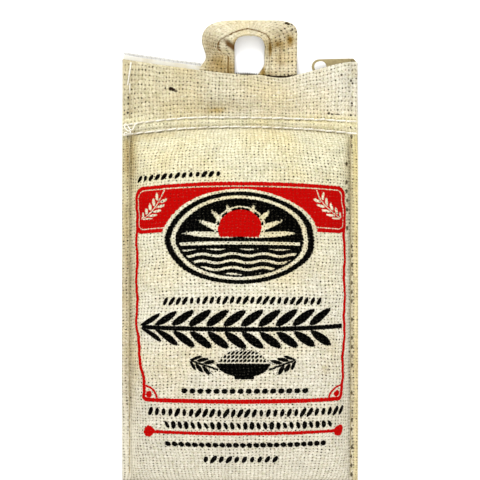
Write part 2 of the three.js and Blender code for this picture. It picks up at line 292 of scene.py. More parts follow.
def spread(low, high, count):
    return [mix(low, high, k / count) for k in range(count + 1)]


def eased(low, high, count):
    """Values between low and high, closest together at both ends."""
    turns = spread(-math.pi / 2, math.pi / 2, count)
    return [mix(low, high, (math.sin(turn) + 1) / 2) for turn in turns]


def running_lengths(points):
    """How far along a line through the points each of them lies."""
    lengths = [0.0]
    for a, b in zip(points, points[1:]):
        lengths.append(lengths[-1] + (b - a).length)
    return lengths


# The sack: one cloth that runs from the foot hem over the front to the lip, down into the mouth,
# out over the back lip and back to the foot

COLUMNS_ACROSS = 100
ROWS_ALONG_FILL = 130
ROWS_ALONG_HEADER = 26
LABEL_MIDDLE_Y = -30  # the height at which the way along the flat cloth is y itself


def ripple(x, y, z, scale, seed):
    """Smooth noise between -1 and 1, with a length of scale millimetres."""
    return noise.noise(Vector((x / scale, y / scale, z / scale + seed)))


def fine_folds(x, y, front):
    """Small gathers at the seams, and the slight unevenness of cloth over rice."""
    from_side = SEAM_X - LEDGE - abs(x)
    from_top = fill_top_y(x) - y
    from_foot = y - FILL_FOOT_Y
    if min(from_side, from_top, from_foot) <= 0:
        return 0.0
    side_share = smooth(min(from_top, from_foot) / 12)
    end_share = smooth(from_side / 12)
    wander = 4 * ripple(x, y, 0, 30, 7 if front else 17)
    folds = pucker(0.35, 9.4, 4.5, from_side, y + 2.5 * wander) * side_share
    folds += pucker(0.3, 11.5, 5, from_top, x + 2 * wander) * end_share
    folds += pucker(0.3, 12.5, 5, from_foot, x - 2 * wander) * end_share
    inside = smooth(min(from_side, from_top, from_foot) / 14)
    lumps = 0.55 * ripple(x, y, 0, 34, 3) + 0.3 * ripple(x, y, 0, 15, 5)
    return folds + lumps * inside


def crease(x, y, start, end, width, height):
    """A straight fold between two points, which fades at both ends."""
    dx, dy = end[0] - start[0], end[1] - start[1]
    length = math.hypot(dx, dy)
    along = ((x - start[0]) * dx + (y - start[1]) * dy) / length ** 2
    aside = ((x - start[0]) * dy - (y - start[1]) * dx) / length
    if not 0 < along < 1:
        return 0.0
    return height * math.sin(math.pi * along) * math.exp(-((aside / width) ** 2))


# The folds at the corners and below the rows: (start, end, width, height)
CREASES = (
    ((-66, -100), (-50, -146), 2.6, 1.1), ((-60, -118), (-40, -148), 2.2, 0.7),
    ((68, -108), (52, -147), 2.6, 0.8), ((-72, 82), (-52, 58), 3.0, -1.2),
    ((-70, 60), (-58, 84), 2.4, 0.6), ((72, 78), (56, 52), 3.4, -1.2), ((70, 50), (60, 84), 2.6, 0.7),
    ((40, 86), (47, 66), 2.4, 0.5), ((-30, 88), (-36, 70), 2.4, 0.5),
)


def side_pinch(x, h):
    """How far each cloth of the header comes in where the side seam draws them together."""
    thickness = header_thickness(h) - HEM
    return thickness / 2 * smooth((abs(x) - 66) / 9) * (1 - smooth((h - 0.5) / 0.3))


def dressed_front(x, y):
    z = front_z(x, y)
    if along_fill(x, y) <= 1:
        folds = sum(crease(x, y, *each) for each in CREASES)
        inside = smooth(min(FILL_HALF - abs(x), fill_top_y(x) - y, y - FILL_FOOT_Y) / 6)
        return z + fine_folds(x, y, True) + folds * inside
    h = along_header(x, y)
    dimple = -1.3 * math.exp(-(((x + 17) / 15) ** 2 + ((y - 101) / 5) ** 2))
    sag = 0.5 * ripple(x, y, 0, 26, 11) * hump(clamp(h / 0.9))
    return z + dimple * smooth(h * 9) + sag - side_pinch(x, h)


def dressed_back(x, y):
    z = back_z(x, y)
    if along_fill(x, y) > 1:
        return z + side_pinch(x, along_header(x, y))
    return max(0.0, z + fine_folds(x, y, False) * smooth(z / 3))


def sack_columns():
    hem = [SEAM_X + LEDGE, mix(SEAM_X + LEDGE, HALF_WIDTH, 0.55), HALF_WIDTH - 0.5, HALF_WIDTH]
    filled = eased(-FILL_HALF, FILL_HALF, COLUMNS_ACROSS)
    return [-x for x in reversed(hem)] + filled + hem


def sack_rows():
    """Functions that give y for an x, from the foot hem to the lip."""
    rows = [lambda x, y=y: y for y in (FOOT_Y, FOOT_Y + 0.5, FOOT_Y + 4.5, FOOT_SEAM_Y - LEDGE)]
    for low, high, shares in (
        (lambda x: FILL_FOOT_Y, fill_top_y, eased(0, 1, ROWS_ALONG_FILL)),
        (lambda x: row_y(LOWER_ROW, x) + LEDGE, lambda x: row_y(UPPER_ROW, x) - LEDGE, spread(0, 1, 4)),
        (header_start_y, lip_y, spread(0, 1, ROWS_ALONG_HEADER)),
    ):
        rows += [lambda x, a=low, b=high, s=share: mix(a(x), b(x), s) for share in shares]
    return rows


def middle_z(x, y):
    """Height half-way between the front and the back cloth at a hem."""
    if along_fill(x, y) <= 1:
        return sheet_level(x, y)
    h = along_header(x, y)
    return header_back(h, sheet_level(x, y) - HEM / 2) + header_thickness(h) / 2


def edge_pinch(x, y):
    """1 over most of the sack, and less at the very rim of a hem, which rounds it."""
    from_rim = min(HALF_WIDTH - abs(x), y - FOOT_Y)
    return mix(0.35, 1.0, math.sqrt(clamp(from_rim / 0.5)))


def sack_section():
    """The stations of the wrapped cloth, each a function from x to (y, z): the front, the wall of
    the mouth, and the back."""

    def cloth(row, surface):
        def point(x):
            y = row(x)
            middle = middle_z(x, y)
            return y, middle + (surface(x, y) - middle) * edge_pinch(x, y)

        return point

    def wall(depth, z):
        return lambda x: (lip_y(x) - depth, z)

    def lip(setback, middle, radius):
        def point_at(turn):
            rise, reach = radius * math.sin(turn), radius * math.cos(turn)
            return lambda x: (lip_y(x) - setback - radius + reach, middle + rise)

        return [point_at(math.radians(turn)) for turn in spread(90, -90, 6)]

    def rim(x):
        return FOOT_Y, middle_z(x, FOOT_Y)

    rows = sack_rows()
    return [
        rim,
        *(cloth(row, dressed_front) for row in rows[:-1]),
        *lip(0, (SLOT_HIGH + MOUTH) / 2, (MOUTH - SLOT_HIGH) / 2),
        *(wall(depth, SLOT_HIGH) for depth in (3, 6, SLOT_DEPTH)),
        *(wall(SLOT_DEPTH, mix(SLOT_HIGH, SLOT_LOW, share)) for share in (0.35, 0.65)),
        *(wall(depth, SLOT_LOW) for depth in (SLOT_DEPTH, 7, BACK_LIP_SETBACK + 1.2)),
        *lip(BACK_LIP_SETBACK, SLOT_LOW / 2, SLOT_LOW / 2),
        *(cloth(row, dressed_back) for row in reversed(rows[:-4])),
        rim,
    ]


def across_cloth(columns, point):
    """How far along the flat cloth each column lies, scaled so that a seam stays where it is."""
    lengths = running_lengths([Vector((x, point(x)[1])) for x in columns])
    left = lengths[columns.index(-FILL_HALF)]
    right = lengths[columns.index(FILL_HALF)]
    scale = 2 * FILL_HALF / (right - left)
    return [(length - (left + right) / 2) * scale for length in lengths]


def closed_sheet(name, columns, rows, place, cloth_place, is_end):
    """A sheet of cloth wrapped round into a tube, with its two ends filled. is_end tells for each
    end which points are on it."""
    sheet = shaped_sheet(name, columns, rows, place, cloth_place)
    edit(sheet, weld(0.00001))
    for test in is_end:
        close_end(sheet, test)
    return edit(sheet, outward)


def make_sack():
    columns = sack_columns()
    stations = sack_section()
    along = running_lengths([Vector(point(0.0)) for point in stations])
    start = next(way for way, point in zip(along, stations) if point(0.0)[0] >= LABEL_MIDDLE_Y)
    across = [across_cloth(columns, point) for point in stations]
    points = [[point(x) for x in columns] for point in stations]

    def place(i, j):
        return columns[i], *points[j][i]

    def cloth_place(i, j):
        return across[j][i], along[j] - start + LABEL_MIDDLE_Y

    sides = [lambda spot: spot.x < -HALF_WIDTH + 0.01, lambda spot: spot.x > HALF_WIDTH - 0.01]
    sack = closed_sheet("sack_cloth", len(columns) - 1, len(stations) - 1, place, cloth_place, sides)
    lay_plain_cloth_on_sides(sack)
    # The painted shade of the valleys, which the finish reads by its name
    paint(sack, "hollow", valley_shade_at)
    return soften(sack, 60)


def lay_plain_cloth_on_sides(sack):
    """Gives the closed ends of the wrapped cloth a place on the flat cloth that has no print."""
    uv = sack.data.uv_layers["cloth"]
    for face in sack.data.polygons:
        corners = [sack.data.vertices[k].co for k in face.vertices]
        if min(abs(corner.x) for corner in corners) < (HALF_WIDTH - 0.01) * MM:
            continue
        for loop_index, corner in zip(face.loop_indices, corners):
            uv.data[loop_index].uv = (math.copysign(HALF_WIDTH * MM, corner.x) + corner.z, corner.y)


def seam_bend(y):
    """1 where the right seam is drawn in, just below the lower row of stitching."""
    return smooth((y - 8) / 12) * (1 - smooth((y - 66) / 12))


def valley_shade_at(spot):
    """Painted shade: how deep in a valley of the cloth a point lies, beside the side seams and the rows of
    stitching, where shade falls.
    """
    x, y = spot.x, spot.y
    body = smooth((fill_top_y(x) + 4 - y) / 8)
    if x < 0:
        deep, reach, drawn_in = 0.16 + 0.26 * smooth((y + 125) / 60) * body, 5.0, 2.0
    else:
        deep, reach, drawn_in = 0.06, 4.0, 2.0 + 1.8 * seam_bend(y)
    side = deep * math.exp(-((abs(x) - SEAM_X + drawn_in * body) / reach) ** 2)
    lower = 0.15 * math.exp(-abs(y - row_y(LOWER_ROW, x)) / 1.4)
    upper = 0.1 * math.exp(-abs(y - row_y(UPPER_ROW, x)) / 1.2)
    return clamp(max(side, lower, upper))


# Threads

THREAD_LIFT = 0.42
CLOSING_STITCH = 7.3
STITCH_SLANT = 0.055
SIDE_STITCH = 6.2
CLOSING_RADIUS, SIDE_RADIUS, LONG_STITCH_RADIUS, TAIL_RADIUS = 0.6, 0.36, 0.5, 0.42


def one_stitch(length, radius):
    """A plain stitch along X, in millimetres, whose ends dive into the cloth."""
    deselect()
    along_x = (0, math.pi / 2, 0)
    bpy.ops.mesh.primitive_cylinder_add(vertices=8, radius=radius, depth=length, rotation=along_x)
    stitch = bpy.context.object
    bpy.ops.object.transform_apply(location=True, rotation=True, scale=True)
    for share in (-0.46, -0.4, -0.3, -0.16, 0, 0.16, 0.3, 0.4, 0.46):
        edit(stitch, lambda x=share * length: bpy.ops.mesh.bisect(plane_co=(x, 0, 0), plane_no=(1, 0, 0)))
    for vertex in stitch.data.vertices:
        x, y, z = vertex.co
        towards_end = abs(2 * x / length)
        thin = 1 - 0.35 * towards_end ** 6
        vertex.co = Vector((x, y * thin, z * thin - 1.9 * radius * towards_end ** 5))
    return stitch


def laid(pattern, spot, heading, climb=0.0):
    """A copy of the pattern, tipped up, turned about +Z and moved to its spot."""
    copy = copied(pattern)
    turn = Matrix.Rotation(heading, 3, "Z") @ Matrix.Rotation(-climb, 3, "Y")
    for vertex in copy.data.vertices:
        vertex.co = (Vector(spot) + turn @ vertex.co) * MM
    return copy


def seam_row(name, pitch, radius, spots):
    """Plain stitches one after the other. spots gives (x, y, z, heading, climb) of each."""
    stitch = one_stitch(pitch * 1.04, radius)
    copies = [laid(stitch, (x, y, z), heading, climb) for x, y, z, heading, climb in spots]
    bpy.data.objects.remove(stitch)
    return soften(joined(copies, name), 60)


def closing_spots(row, seed):
    """Stitches from hem to hem, which wander a little off the arc of their row."""
    count = round(2 * (HALF_WIDTH - 0.6) / CLOSING_STITCH)
    ends = []
    for x in spread(-HALF_WIDTH + 0.6, HALF_WIDTH - 0.6, count):
        y = row_y(row, x) + 0.42 * ripple(x, 0, 0, 9, seed)
        ends.append(Vector((x, y, dressed_front(x, y) + THREAD_LIFT)))
    spots = []
    for a, b in zip(ends, ends[1:]):
        step = b - a
        slant = STITCH_SLANT * (1 + 1.6 * ripple(a.x, 0, 0, 8, seed + 5))
        spots.append((*((a + b) / 2), math.atan2(step.y, step.x) + slant, math.atan2(step.z, step.x)))
    return spots


def side_spots(x, high):
    low = FOOT_SEAM_Y + 5
    spots = []
    for k in range(int((high - low) / SIDE_STITCH) + 1):
        y = low + k * SIDE_STITCH
        if fill_top_y(x) - 2.5 < y < header_start_y(x) + 2.5:
            continue
        rise = dressed_front(x, y + 2) - dressed_front(x, y - 2)
        z = dressed_front(x, y) + THREAD_LIFT - 0.1
        spots.append((x, y + SIDE_STITCH / 2, z, math.pi / 2, math.atan2(rise, 4)))
    return spots


def foot_spots():
    count = round(2 * SEAM_X / SIDE_STITCH)
    return [
        (x, FOOT_SEAM_Y, dressed_front(x, FOOT_SEAM_Y) + THREAD_LIFT - 0.1, 0.0, 0.0)
        for x in spread(-SEAM_X + 1, SEAM_X - 1, count)
    ]


def tube(name, kind, points, radius, rounding=2):
    """A round wire through the points, in millimetres: a smooth BEZIER or a straight POLY one."""
    curve = bpy.data.curves.new(name, "CURVE")
    curve.dimensions = "3D"
    curve.bevel_depth = radius * MM
    curve.bevel_resolution = rounding
    curve.resolution_u = 6
    curve.use_fill_caps = True
    spline = curve.splines.new(kind)
    knots = spline.bezier_points if kind == "BEZIER" else spline.points
    knots.add(len(points) - 1)
    for knot, point in zip(knots, points):
        if kind == "BEZIER":
            knot.co = Vector(point) * MM
            knot.handle_left_type = knot.handle_right_type = "AUTO"
        else:
            knot.co = (*(Vector(point) * MM), 1)
    wire = bpy.data.objects.new(name, curve)
    bpy.context.collection.objects.link(wire)
    take(wire)
    bpy.ops.object.convert(target="MESH")
    wire = named(bpy.context.object, name)
    edit(wire, outward)
    return soften(wire, 60)


# The long stitch near the lip on the left: (x, y, height above the cloth)
LONG_STITCH = (
    (-76.4, 117.8, -0.4), (-76.2, 119.4, 0.3), (-75.6, 123.0, 0.5), (-74.9, 127.5, 0.5),
    (-74.3, 131.4, 0.3), (-74.2, 133.0, -0.4),
)


LEFT_ROW_END_Y, RIGHT_ROW_END_Y = LONG_STITCH[0][1] - 4, lip_y(SEAM_X) - 4


def long_stitch():
    points = [(x, y, dressed_front(x, y) + lift) for x, y, lift in LONG_STITCH]
    return tube("long_stitch", "BEZIER", points, LONG_STITCH_RADIUS)


TAIL_LEVEL = 12.6
TAIL_ROUTE = (
    (-69.2, 91.6, 11.4), (-71.4, 90.2, 12.2), (-72.3, 88.2, TAIL_LEVEL), (-73.6, 86.9, TAIL_LEVEL),
    (-75.2, 88.0, TAIL_LEVEL), (-76.6, 90.4, TAIL_LEVEL), (-78.3, 90.6, TAIL_LEVEL),
    (-78.2, 88.6, TAIL_LEVEL), (-76.4, 86.6, TAIL_LEVEL), (-74.2, 85.6, TAIL_LEVEL),
    (-75.6, 84.4, TAIL_LEVEL), (-77.6, 85.2, TAIL_LEVEL - 0.4), (-79.0, 83.8, TAIL_LEVEL - 0.8),
)


# The handle: a strap of folded cloth that turns over in an arch

STRAP_CENTRE_X = 6.5
STRAP_OUTER_HALF = 32.3
STRAP_INNER_HALF = 10.1
STRAP_LEG_END_Y = 119.6
STRAP_WIDTH = 22.0
OUTER_BASE_Y, OUTER_TOP_Y = 142, 160.73
OUTER_SQUARE_LEFT, OUTER_SQUARE_RIGHT = 4.2, 7.0
INNER_BASE_Y, INNER_TOP_Y, INNER_SQUARE = 141, 150.5, 3.0
STRAP_IN_MOUTH, STRAP_ON_FLOOR, STRAP_INNER_LIFT = 3.3, 0.3, 10.5
LEG_STATIONS = 34
ARCH_STATIONS = 84
# The strap's section from the outer edge round to the inner one and back: (share of the width, rise)
STRAP_SECTION = (
    (0, 1.2), (0.006, 1.75), (0.025, 2.2), (0.06, 2.4), (0.13, 2.42), (0.22, 2.4), (0.31, 2.42),
    (0.4, 2.4), (0.49, 2.42), (0.58, 2.4), (0.66, 2.45), (0.71, 2.5), (0.728, 2.38), (0.733, 2.1),
    (0.737, 1.72), (0.75, 1.6), (0.8, 1.7), (0.86, 1.74), (0.93, 1.7), (0.975, 1.5), (0.995, 1.1),
    (1, 0.85), (0.99, 0.4), (0.96, 0.06), (0.85, 0), (0.7, 0), (0.5, 0), (0.3, 0), (0.15, 0),
    (0.04, 0.1), (0.008, 0.6),
)


STRAP_RING = (*STRAP_SECTION, STRAP_SECTION[0])
FOLD_FOOT = STRAP_SECTION.index((0.737, 1.72))
FOLD_SHARE = 0.73

# Where the free edge of the folded cloth shows from above, from the foot of the left leg over the
# arch to the foot of the right one
FOLD_LINE = (
    (-8.4, 116), (-8.4, 137), (-14.6, 142), (-15.4, 144.4), (-15.0, 146.4), (-13.2, 148.9),
    (-6.5, 151.6), (-0.5, 153.4), (5.3, 154.8), (7.5, 154.3), (12.9, 153.0), (18, 150.8), (19.6, 148.9),
    (20.4, 145), (20.4, 116),
)


def arch_point(base_y, top_y, square, half, turn):
    c, s = math.cos(turn), max(0.0, math.sin(turn))
    x = STRAP_CENTRE_X + half * math.copysign(abs(c) ** (2 / square), c)
    return x, mix(base_y, top_y, s ** (2 / square))


def left_inset(y):
    """How far the outer edge of the left leg comes in: a waist, above a flare at the mouth."""
    return 2.5 * (1 - smooth((y - 137) / 12)) - 4.5 * (1 - smooth((y - 127.5) / 9))


def arch_edges():
    """(outer edge, inner edge) over the arch, in even steps along the middle of the strap."""
    fine = []
    for turn in spread(math.pi, 0, 2400):
        on_left = turn > math.pi / 2
        outer_square = OUTER_SQUARE_LEFT if on_left else OUTER_SQUARE_RIGHT
        outer_x, outer_y = arch_point(OUTER_BASE_Y, OUTER_TOP_Y, outer_square, STRAP_OUTER_HALF, turn)
        inner = arch_point(INNER_BASE_Y, INNER_TOP_Y, INNER_SQUARE, STRAP_INNER_HALF, turn)
        fine.append(((outer_x + left_inset(outer_y) * on_left, outer_y), inner))
    lengths = running_lengths([(Vector(outer) + Vector(inner)) / 2 for outer, inner in fine])
    steps = spread(0, lengths[-1], ARCH_STATIONS)
    return [fine[min(bisect.bisect_left(lengths, step), len(fine) - 1)] for step in steps]


def strap_edges():
    """(outer edge, inner edge) at each station: up the left leg, over the arch, down the right."""

    def leg(side, k):
        share = k / LEG_STATIONS
        outer_y = mix(STRAP_LEG_END_Y, OUTER_BASE_Y, share)
        inner_y = mix(STRAP_LEG_END_Y, INNER_BASE_Y, share)
        outer_half, inner_half = STRAP_OUTER_HALF, STRAP_INNER_HALF
        if side < 0:
            outer_half -= left_inset(outer_y)
        else:
            inner_half -= 5.8 * (1 - smooth((inner_y - 121) / 12))
        return (STRAP_CENTRE_X + side * outer_half, outer_y), (STRAP_CENTRE_X + side * inner_half, inner_y)

    edges = [leg(-1, k) for k in range(LEG_STATIONS)]
    edges += arch_edges()
    edges += [leg(1, k) for k in reversed(range(LEG_STATIONS))]
    stations = []
    for outer, inner in edges:
        leaving = smooth((outer[1] - lip_y(STRAP_CENTRE_X) - 4) / 14)
        floorward = mix(STRAP_IN_MOUTH, STRAP_ON_FLOOR, leaving)
        over = smooth((inner[1] - INNER_BASE_Y + 4) / (INNER_TOP_Y - INNER_BASE_Y + 4))
        lifted = floorward + STRAP_INNER_LIFT * over
        stations.append((Vector((*outer, floorward)), Vector((*inner, lifted))))
    return stations


def ring_lengths():
    """How far round the strap each point of its section lies, in millimetres."""
    return running_lengths([Vector((share * STRAP_WIDTH, rise)) for share, rise in STRAP_RING])


def fold_at(outer, inner):
    """Where the fold crosses a station, as a share of the way from its outer to its inner edge."""
    for start, end in zip(FOLD_LINE, FOLD_LINE[1:]):
        crossing = geometry.intersect_line_line_2d(outer.xy, inner.xy, start, end)
        if crossing:
            return clamp((crossing - outer.xy).length / (inner.xy - outer.xy).length, 0.3, 0.92)
    return FOLD_SHARE


def with_fold(share, fold):
    """Moves a point of the section so that the fold comes to its place on this station."""
    if share <= FOLD_SHARE:
        return share * fold / FOLD_SHARE
    return 1 - (1 - share) * (1 - fold) / (1 - FOLD_SHARE)


def strap_wrinkle(share, station, total):
    """Small folds across the strap, deepest where it is forced round at its inner edge."""
    place = station / total
    left = math.exp(-(((place - 0.33) / 0.045) ** 2))
    right = math.exp(-(((place - 0.67) / 0.045) ** 2))
    bunch = (left + right) * share ** 1.5
    folds = 0.55 * bunch * math.sin(station * 0.9 + 3 * share)
    wave = 0.3 * ripple(share * 18, station * 0.8, 0, 7, 31) * math.sin(math.pi * share)
    return folds + wave


def strap_pit(x, y):
    """Depth of the hollow where the left leg turns in under the arch."""
    across, up = (x + 6.0) * 0.8 - (y - 144.4) * 0.6, (y - 144.4) * 0.8 + (x + 6.0) * 0.6
    return 1.5 * math.exp(-((across / 3.6) ** 2) - (up / 1.6) ** 2)


def make_handle():
    stations = strap_edges()
    total = len(stations) - 1
    around = ring_lengths()
    along = running_lengths([(outer + inner) / 2 for outer, inner in stations])
    folds = [fold_at(outer, inner) for outer, inner in stations]

    def place(i, j):
        outer, inner = stations[j]
        ahead, behind = stations[min(j + 1, total)], stations[max(j - 1, 0)]
        heading = ahead[0] + ahead[1] - behind[0] - behind[1]
        across = inner - outer
        share, rise = STRAP_RING[i]
        share = with_fold(share, folds[j])
        spot = outer + across * share
        if rise > 1.0:
            rise += strap_wrinkle(share, j, total) - strap_pit(spot.x, spot.y)
        return spot + across.cross(heading).normalized() * rise

    def cloth_place(i, j):
        return around[i] - STRAP_WIDTH / 2, along[j] - along[-1] / 2

    def leg_end(side):
        return lambda spot: spot.y < STRAP_LEG_END_Y + 0.01 and (spot.x - STRAP_CENTRE_X) * side > 0

    ends = [leg_end(-1), leg_end(1)]
    strap = closed_sheet("handle_strap", len(STRAP_RING) - 1, total, place, cloth_place, ends)
    return soften(strap, 50)


# The zip

TAPE_HIDDEN = -2.6
TEETH_RADIUS = 1.1
TEETH_Z = 1.9
COIL_PITCH = 1.5
COIL_POINTS = 10
COIL_WIRE = 0.24
ZIP_START_X, ZIP_END_X = -HALF_WIDTH + 1.0, 71.3


def tape_edge_y(x):
    left = 5.6 * smooth((-5 - x) / 22)
    right = 2.2 * smooth((x - 52) / 28)
    return lip_y(x) + TAPE_HIDDEN + left + right


def make_zip_coil():
    """One row of spiral teeth, a fine wire wound along the edge of the tape."""
    turns = int((ZIP_END_X - ZIP_START_X) / COIL_PITCH)
    reach = TEETH_RADIUS - COIL_WIRE
    points = []
    for k in range(turns * COIL_POINTS + 1):
        x = mix(ZIP_START_X, ZIP_END_X, k / (turns * COIL_POINTS))
        angle = 2 * math.pi * k / COIL_POINTS
        peek = 1.3 * smooth((x + 8) / 5) * (1 - smooth((x - 16) / 5))
        y = tape_edge_y(x) + 0.3 + TEETH_RADIUS + peek + reach * math.cos(angle)
        points.append((x, y, TEETH_Z + reach * math.sin(angle)))
    return tube("zip_coil", "POLY", points, COIL_WIRE, 1)


def bevelled_copy(node, name, width):
    """A CAD node's shape with its sharp edges rounded."""
    copy = named(copied(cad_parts[node]), name)
    copy.parent = None
    copy.data.materials.clear()
    flat = math.radians(3)
    edit(copy, weld(0.000002), lambda: bpy.ops.mesh.dissolve_limited(angle_limit=flat), outward)
    take(copy)
    bevel = copy.modifiers.new("Bevel", "BEVEL")
    bevel.width, bevel.segments = width * MM, 3
    bevel.limit_method, bevel.angle_limit = "ANGLE", 0.6
    bpy.ops.object.modifier_apply(modifier=bevel.name)
    return soften(copy, 40)


# Shader maths: a wire adds its Math nodes as it is used in an expression


def operator(operation, swapped=False):
    """A method that feeds the wire, and the other value if there is one, to a Math node."""

    def apply(self, *other):
        values = (*other, self) if swapped else (self, *other)
        made = self.bench.node("ShaderNodeMath", {"operation": operation}, *values)
        return Wire(self.bench, made.outputs[0])

    return apply


class Wire:
    """A shader value that works like a number."""

    __add__, __radd__ = operator("ADD"), operator("ADD", swapped=True)
    __sub__, __rsub__ = operator("SUBTRACT"), operator("SUBTRACT", swapped=True)
    __mul__, __rmul__ = operator("MULTIPLY"), operator("MULTIPLY", swapped=True)
    __truediv__, __pow__, __abs__ = operator("DIVIDE"), operator("POWER"), operator("ABSOLUTE")
    least, most = operator("MINIMUM"), operator("MAXIMUM")
    sine, root, floor, fract = (operator(name) for name in ("SINE", "SQRT", "FLOOR", "FRACT"))

    def __init__(self, bench, socket):
        self.bench = bench
        self.socket = socket

    def __neg__(self):
        return self * -1.0

    def above(self, edge, blur):
        """0 below the edge and 1 above it, over a blur on each side."""
        step = {"interpolation_type": "SMOOTHSTEP"}
        made = self.bench.node("ShaderNodeMapRange", step, self, edge - blur, edge + blur)
        return Wire(self.bench, made.outputs[0])

    def below(self, edge, blur):
        return 1 - self.above(edge, blur)


class Bench:
    """A material under construction."""

    def __init__(self, name):
        self.material = bpy.data.materials.new(name)
        self.material.use_nodes = True
        self.tree = self.material.node_tree
        self.shader = self.tree.nodes["Principled BSDF"]

    def node(self, kind, settings=None, *values, **named_values):
        """A node of the kind, with its settings first and then the values or wires of its sockets."""
        made = self.tree.nodes.new(kind)
        for key, value in (settings or {}).items():
            setattr(made, key, value)
        for socket, value in zip(made.inputs, values):
            self.feed(socket, value)
        for key, value in named_values.items():
            self.feed(made.inputs[key.replace("_", " ")], value)
        return made

    def feed(self, socket, value):
        """value is a wire, a socket, a number, or a colour as (r, g, b) seen on screen, 0 to 255."""
        if isinstance(value, Wire):
            self.tree.links.new(value.socket, socket)
        elif isinstance(value, bpy.types.NodeSocket):
            self.tree.links.new(value, socket)
        elif isinstance(value, tuple):
            socket.default_value = linear(value)
        elif value is not None:
            socket.default_value = value

    def in_millimetres(self, socket):
        parts = self.node("ShaderNodeSeparateXYZ", None, socket)
        return [Wire(self, part) * (1 / MM) for part in parts.outputs]

    def cloth_coordinates(self):
        """The place on the flat cloth."""
        return self.in_millimetres(self.node("ShaderNodeUVMap", {"uv_map": "cloth"}).outputs[0])[:2]

    def object_coordinates(self):
        """The place on the object."""
        return self.in_millimetres(self.node("ShaderNodeTexCoord").outputs["Object"])

    def attribute(self, name):
        return Wire(self, self.node("ShaderNodeAttribute", {"attribute_name": name}).outputs["Fac"])

    def noise(self, x, y, scale=1.0, detail=2.0, seed=0.0):
        """Noise about 0.5 at a place given in millimetres, with a length of scale."""
        place = self.node("ShaderNodeCombineXYZ", None, x * (1 / scale), y * (1 / scale), seed)
        made = self.node("ShaderNodeTexNoise", None, Vector=place.outputs[0], Scale=1.0, Detail=detail)
        return Wire(self, made.outputs["Fac"])

    def chance(self, x, y=0.0):
        """A random number for each whole x and y."""
        place = self.node("ShaderNodeCombineXYZ", None, x, y, 0.0)
        made = self.node("ShaderNodeTexWhiteNoise", {"noise_dimensions": "3D"}, place.outputs[0])
        return Wire(self, made.outputs["Value"])

    def blend(self, below, above, share, how="MIX"):
        """One colour laid over another."""
        made = self.node("ShaderNodeMix", {"data_type": "RGBA", "blend_type": how})
        self.feed(made.inputs["Factor"], share)
        colour_sockets = [s for s in made.inputs if s.type == "RGBA"]
        for socket, colour in zip(colour_sockets, (below, above)):
            self.feed(socket, colour)
        return next(s for s in made.outputs if s.type == "RGBA")

    def coats(self, colour, *coats):
        """Lays coats over a colour one after the other. A coat is (how, colour, share): MIX covers
        what is below, and SOAK multiplies it, which leaves its light and dark threads."""
        for how, above, share in coats:
            colour = self.blend(colour, above, share, how)
        return colour

    def finish(self, colour, roughness, height=None, depth=0.0):
        """Feeds the shader. height is a wire about 0 to 1 that is depth millimetres deep."""
        self.feed(self.shader.inputs["Base Color"], colour)
        self.feed(self.shader.inputs["Roughness"], roughness)
        if height is not None:
            bump = self.node("ShaderNodeBump", None, Strength=1.0, Distance=depth * MM, Height=height)
            self.feed(self.shader.inputs["Normal"], bump.outputs[0])
        return self.material


def linear(colour):
    """A screen colour of 0 to 255 as Blender's linear colour."""

    def channel(value):
        value /= 255
        return value / 12.92 if value <= 0.04045 else ((value + 0.055) / 1.055) ** 2.4

    return (*(channel(value) for value in colour), 1.0)


# Cloth

CLOTH_LIGHT = (215, 212, 199)
CLOTH_MID = (189, 186, 172)
CLOTH_DARK = (116, 102, 72)
CLOTH_HOLE = (34, 26, 12)
ROSY = (192, 172, 154)
MOSSY = (172, 176, 138)
GREY = (158, 157, 150)
# Brown for the painted shade along the strap's fold and in its hollows, and for its second row of stitches
CREASE_SHADE_AND_SEAM = (96, 68, 24)
NEEDLE_MARK = (46, 35, 15)
# Dark flecks, and the painted shadow along the front lip's edge
FLECK_AND_SHADOW = (32, 22, 16)
# Painted shade in the strap's pit, a painted shadow in the slit under its right leg, and the strap's dark
# marks
PIT_SHADE, SLIT_SHADOW, STRAP_MARK = (88, 58, 22), (28, 16, 8), (40, 27, 12)
# Stains, which the cloth is multiplied by. The brown one also paints the shade in valleys, under the rows
# and in hollows
YELLOWED = (253, 244, 222)
OCHRE = (255, 244, 210)
GRAIN = (229, 227, 220)
DIRT_AND_SHADE = (206, 186, 136)
WARP_PITCH = 2.38
WEFT_PITCH = 2.26
MIX, SOAK = "MIX", "MULTIPLY"
COTTON_ROUGHNESS, INK_GLOSS = 0.96, 0.2
SACK_WEAVE_DEPTH, STRAP_WEAVE_DEPTH = 0.55, 0.5


def weave(bench, across, along):
    """A coarse plain weave. Gives its height, its holes, the tone of its threads and the shade
    between them."""

    def drift(scale, detail, seed, reach):
        return (bench.noise(across, along, scale, detail, seed) - 0.5) * reach

    warp = across * (1 / WARP_PITCH) + drift(24, 2.0, 1.5, 1.5) + drift(4.5, 1.0, 51.0, 0.45)
    weft = along * (1 / WEFT_PITCH) + drift(20, 2.0, 8.5, 1.7) + drift(4.0, 1.0, 57.0, 0.5)
    warp_wave = (warp * math.pi).sine()
    weft_wave = (weft * math.pi).sine()
    warp_body = abs(warp_wave) ** 0.55
    weft_body = abs(weft_wave) ** 0.55
    over = warp_wave * weft_wave
    height = (warp_body * (over * 0.16 + 0.84)).most(weft_body * (0.84 - over * 0.16))
    luck = bench.chance((warp + 0.5).floor(), (weft + 0.5).floor())
    open_patch = bench.noise(across, along, 26, 3.0, 4.2).above(0.52, 0.16)
    gap = (1 - warp_body) * (1 - weft_body) + (luck - 0.5) * 0.12
    hole = gap.above(0.3, 0.24) * (luck ** 4 * 0.7 + open_patch * luck * 0.6 + 0.55)
    warp_tone = bench.noise(warp.floor() * 7.3, along, 7, 2.0, 2.2)
    weft_tone = bench.noise(across, weft.floor() * 7.3, 8, 2.0, 6.1)
    upper = over.above(0, 0.35)
    tone = warp_tone * upper + weft_tone * (1 - upper) + drift(0.75, 2.0, 41.0, 1.1)
    shade = (1 - warp_body) * 0.6 + (1 - weft_body) * 0.45
    return height, hole, tone, shade


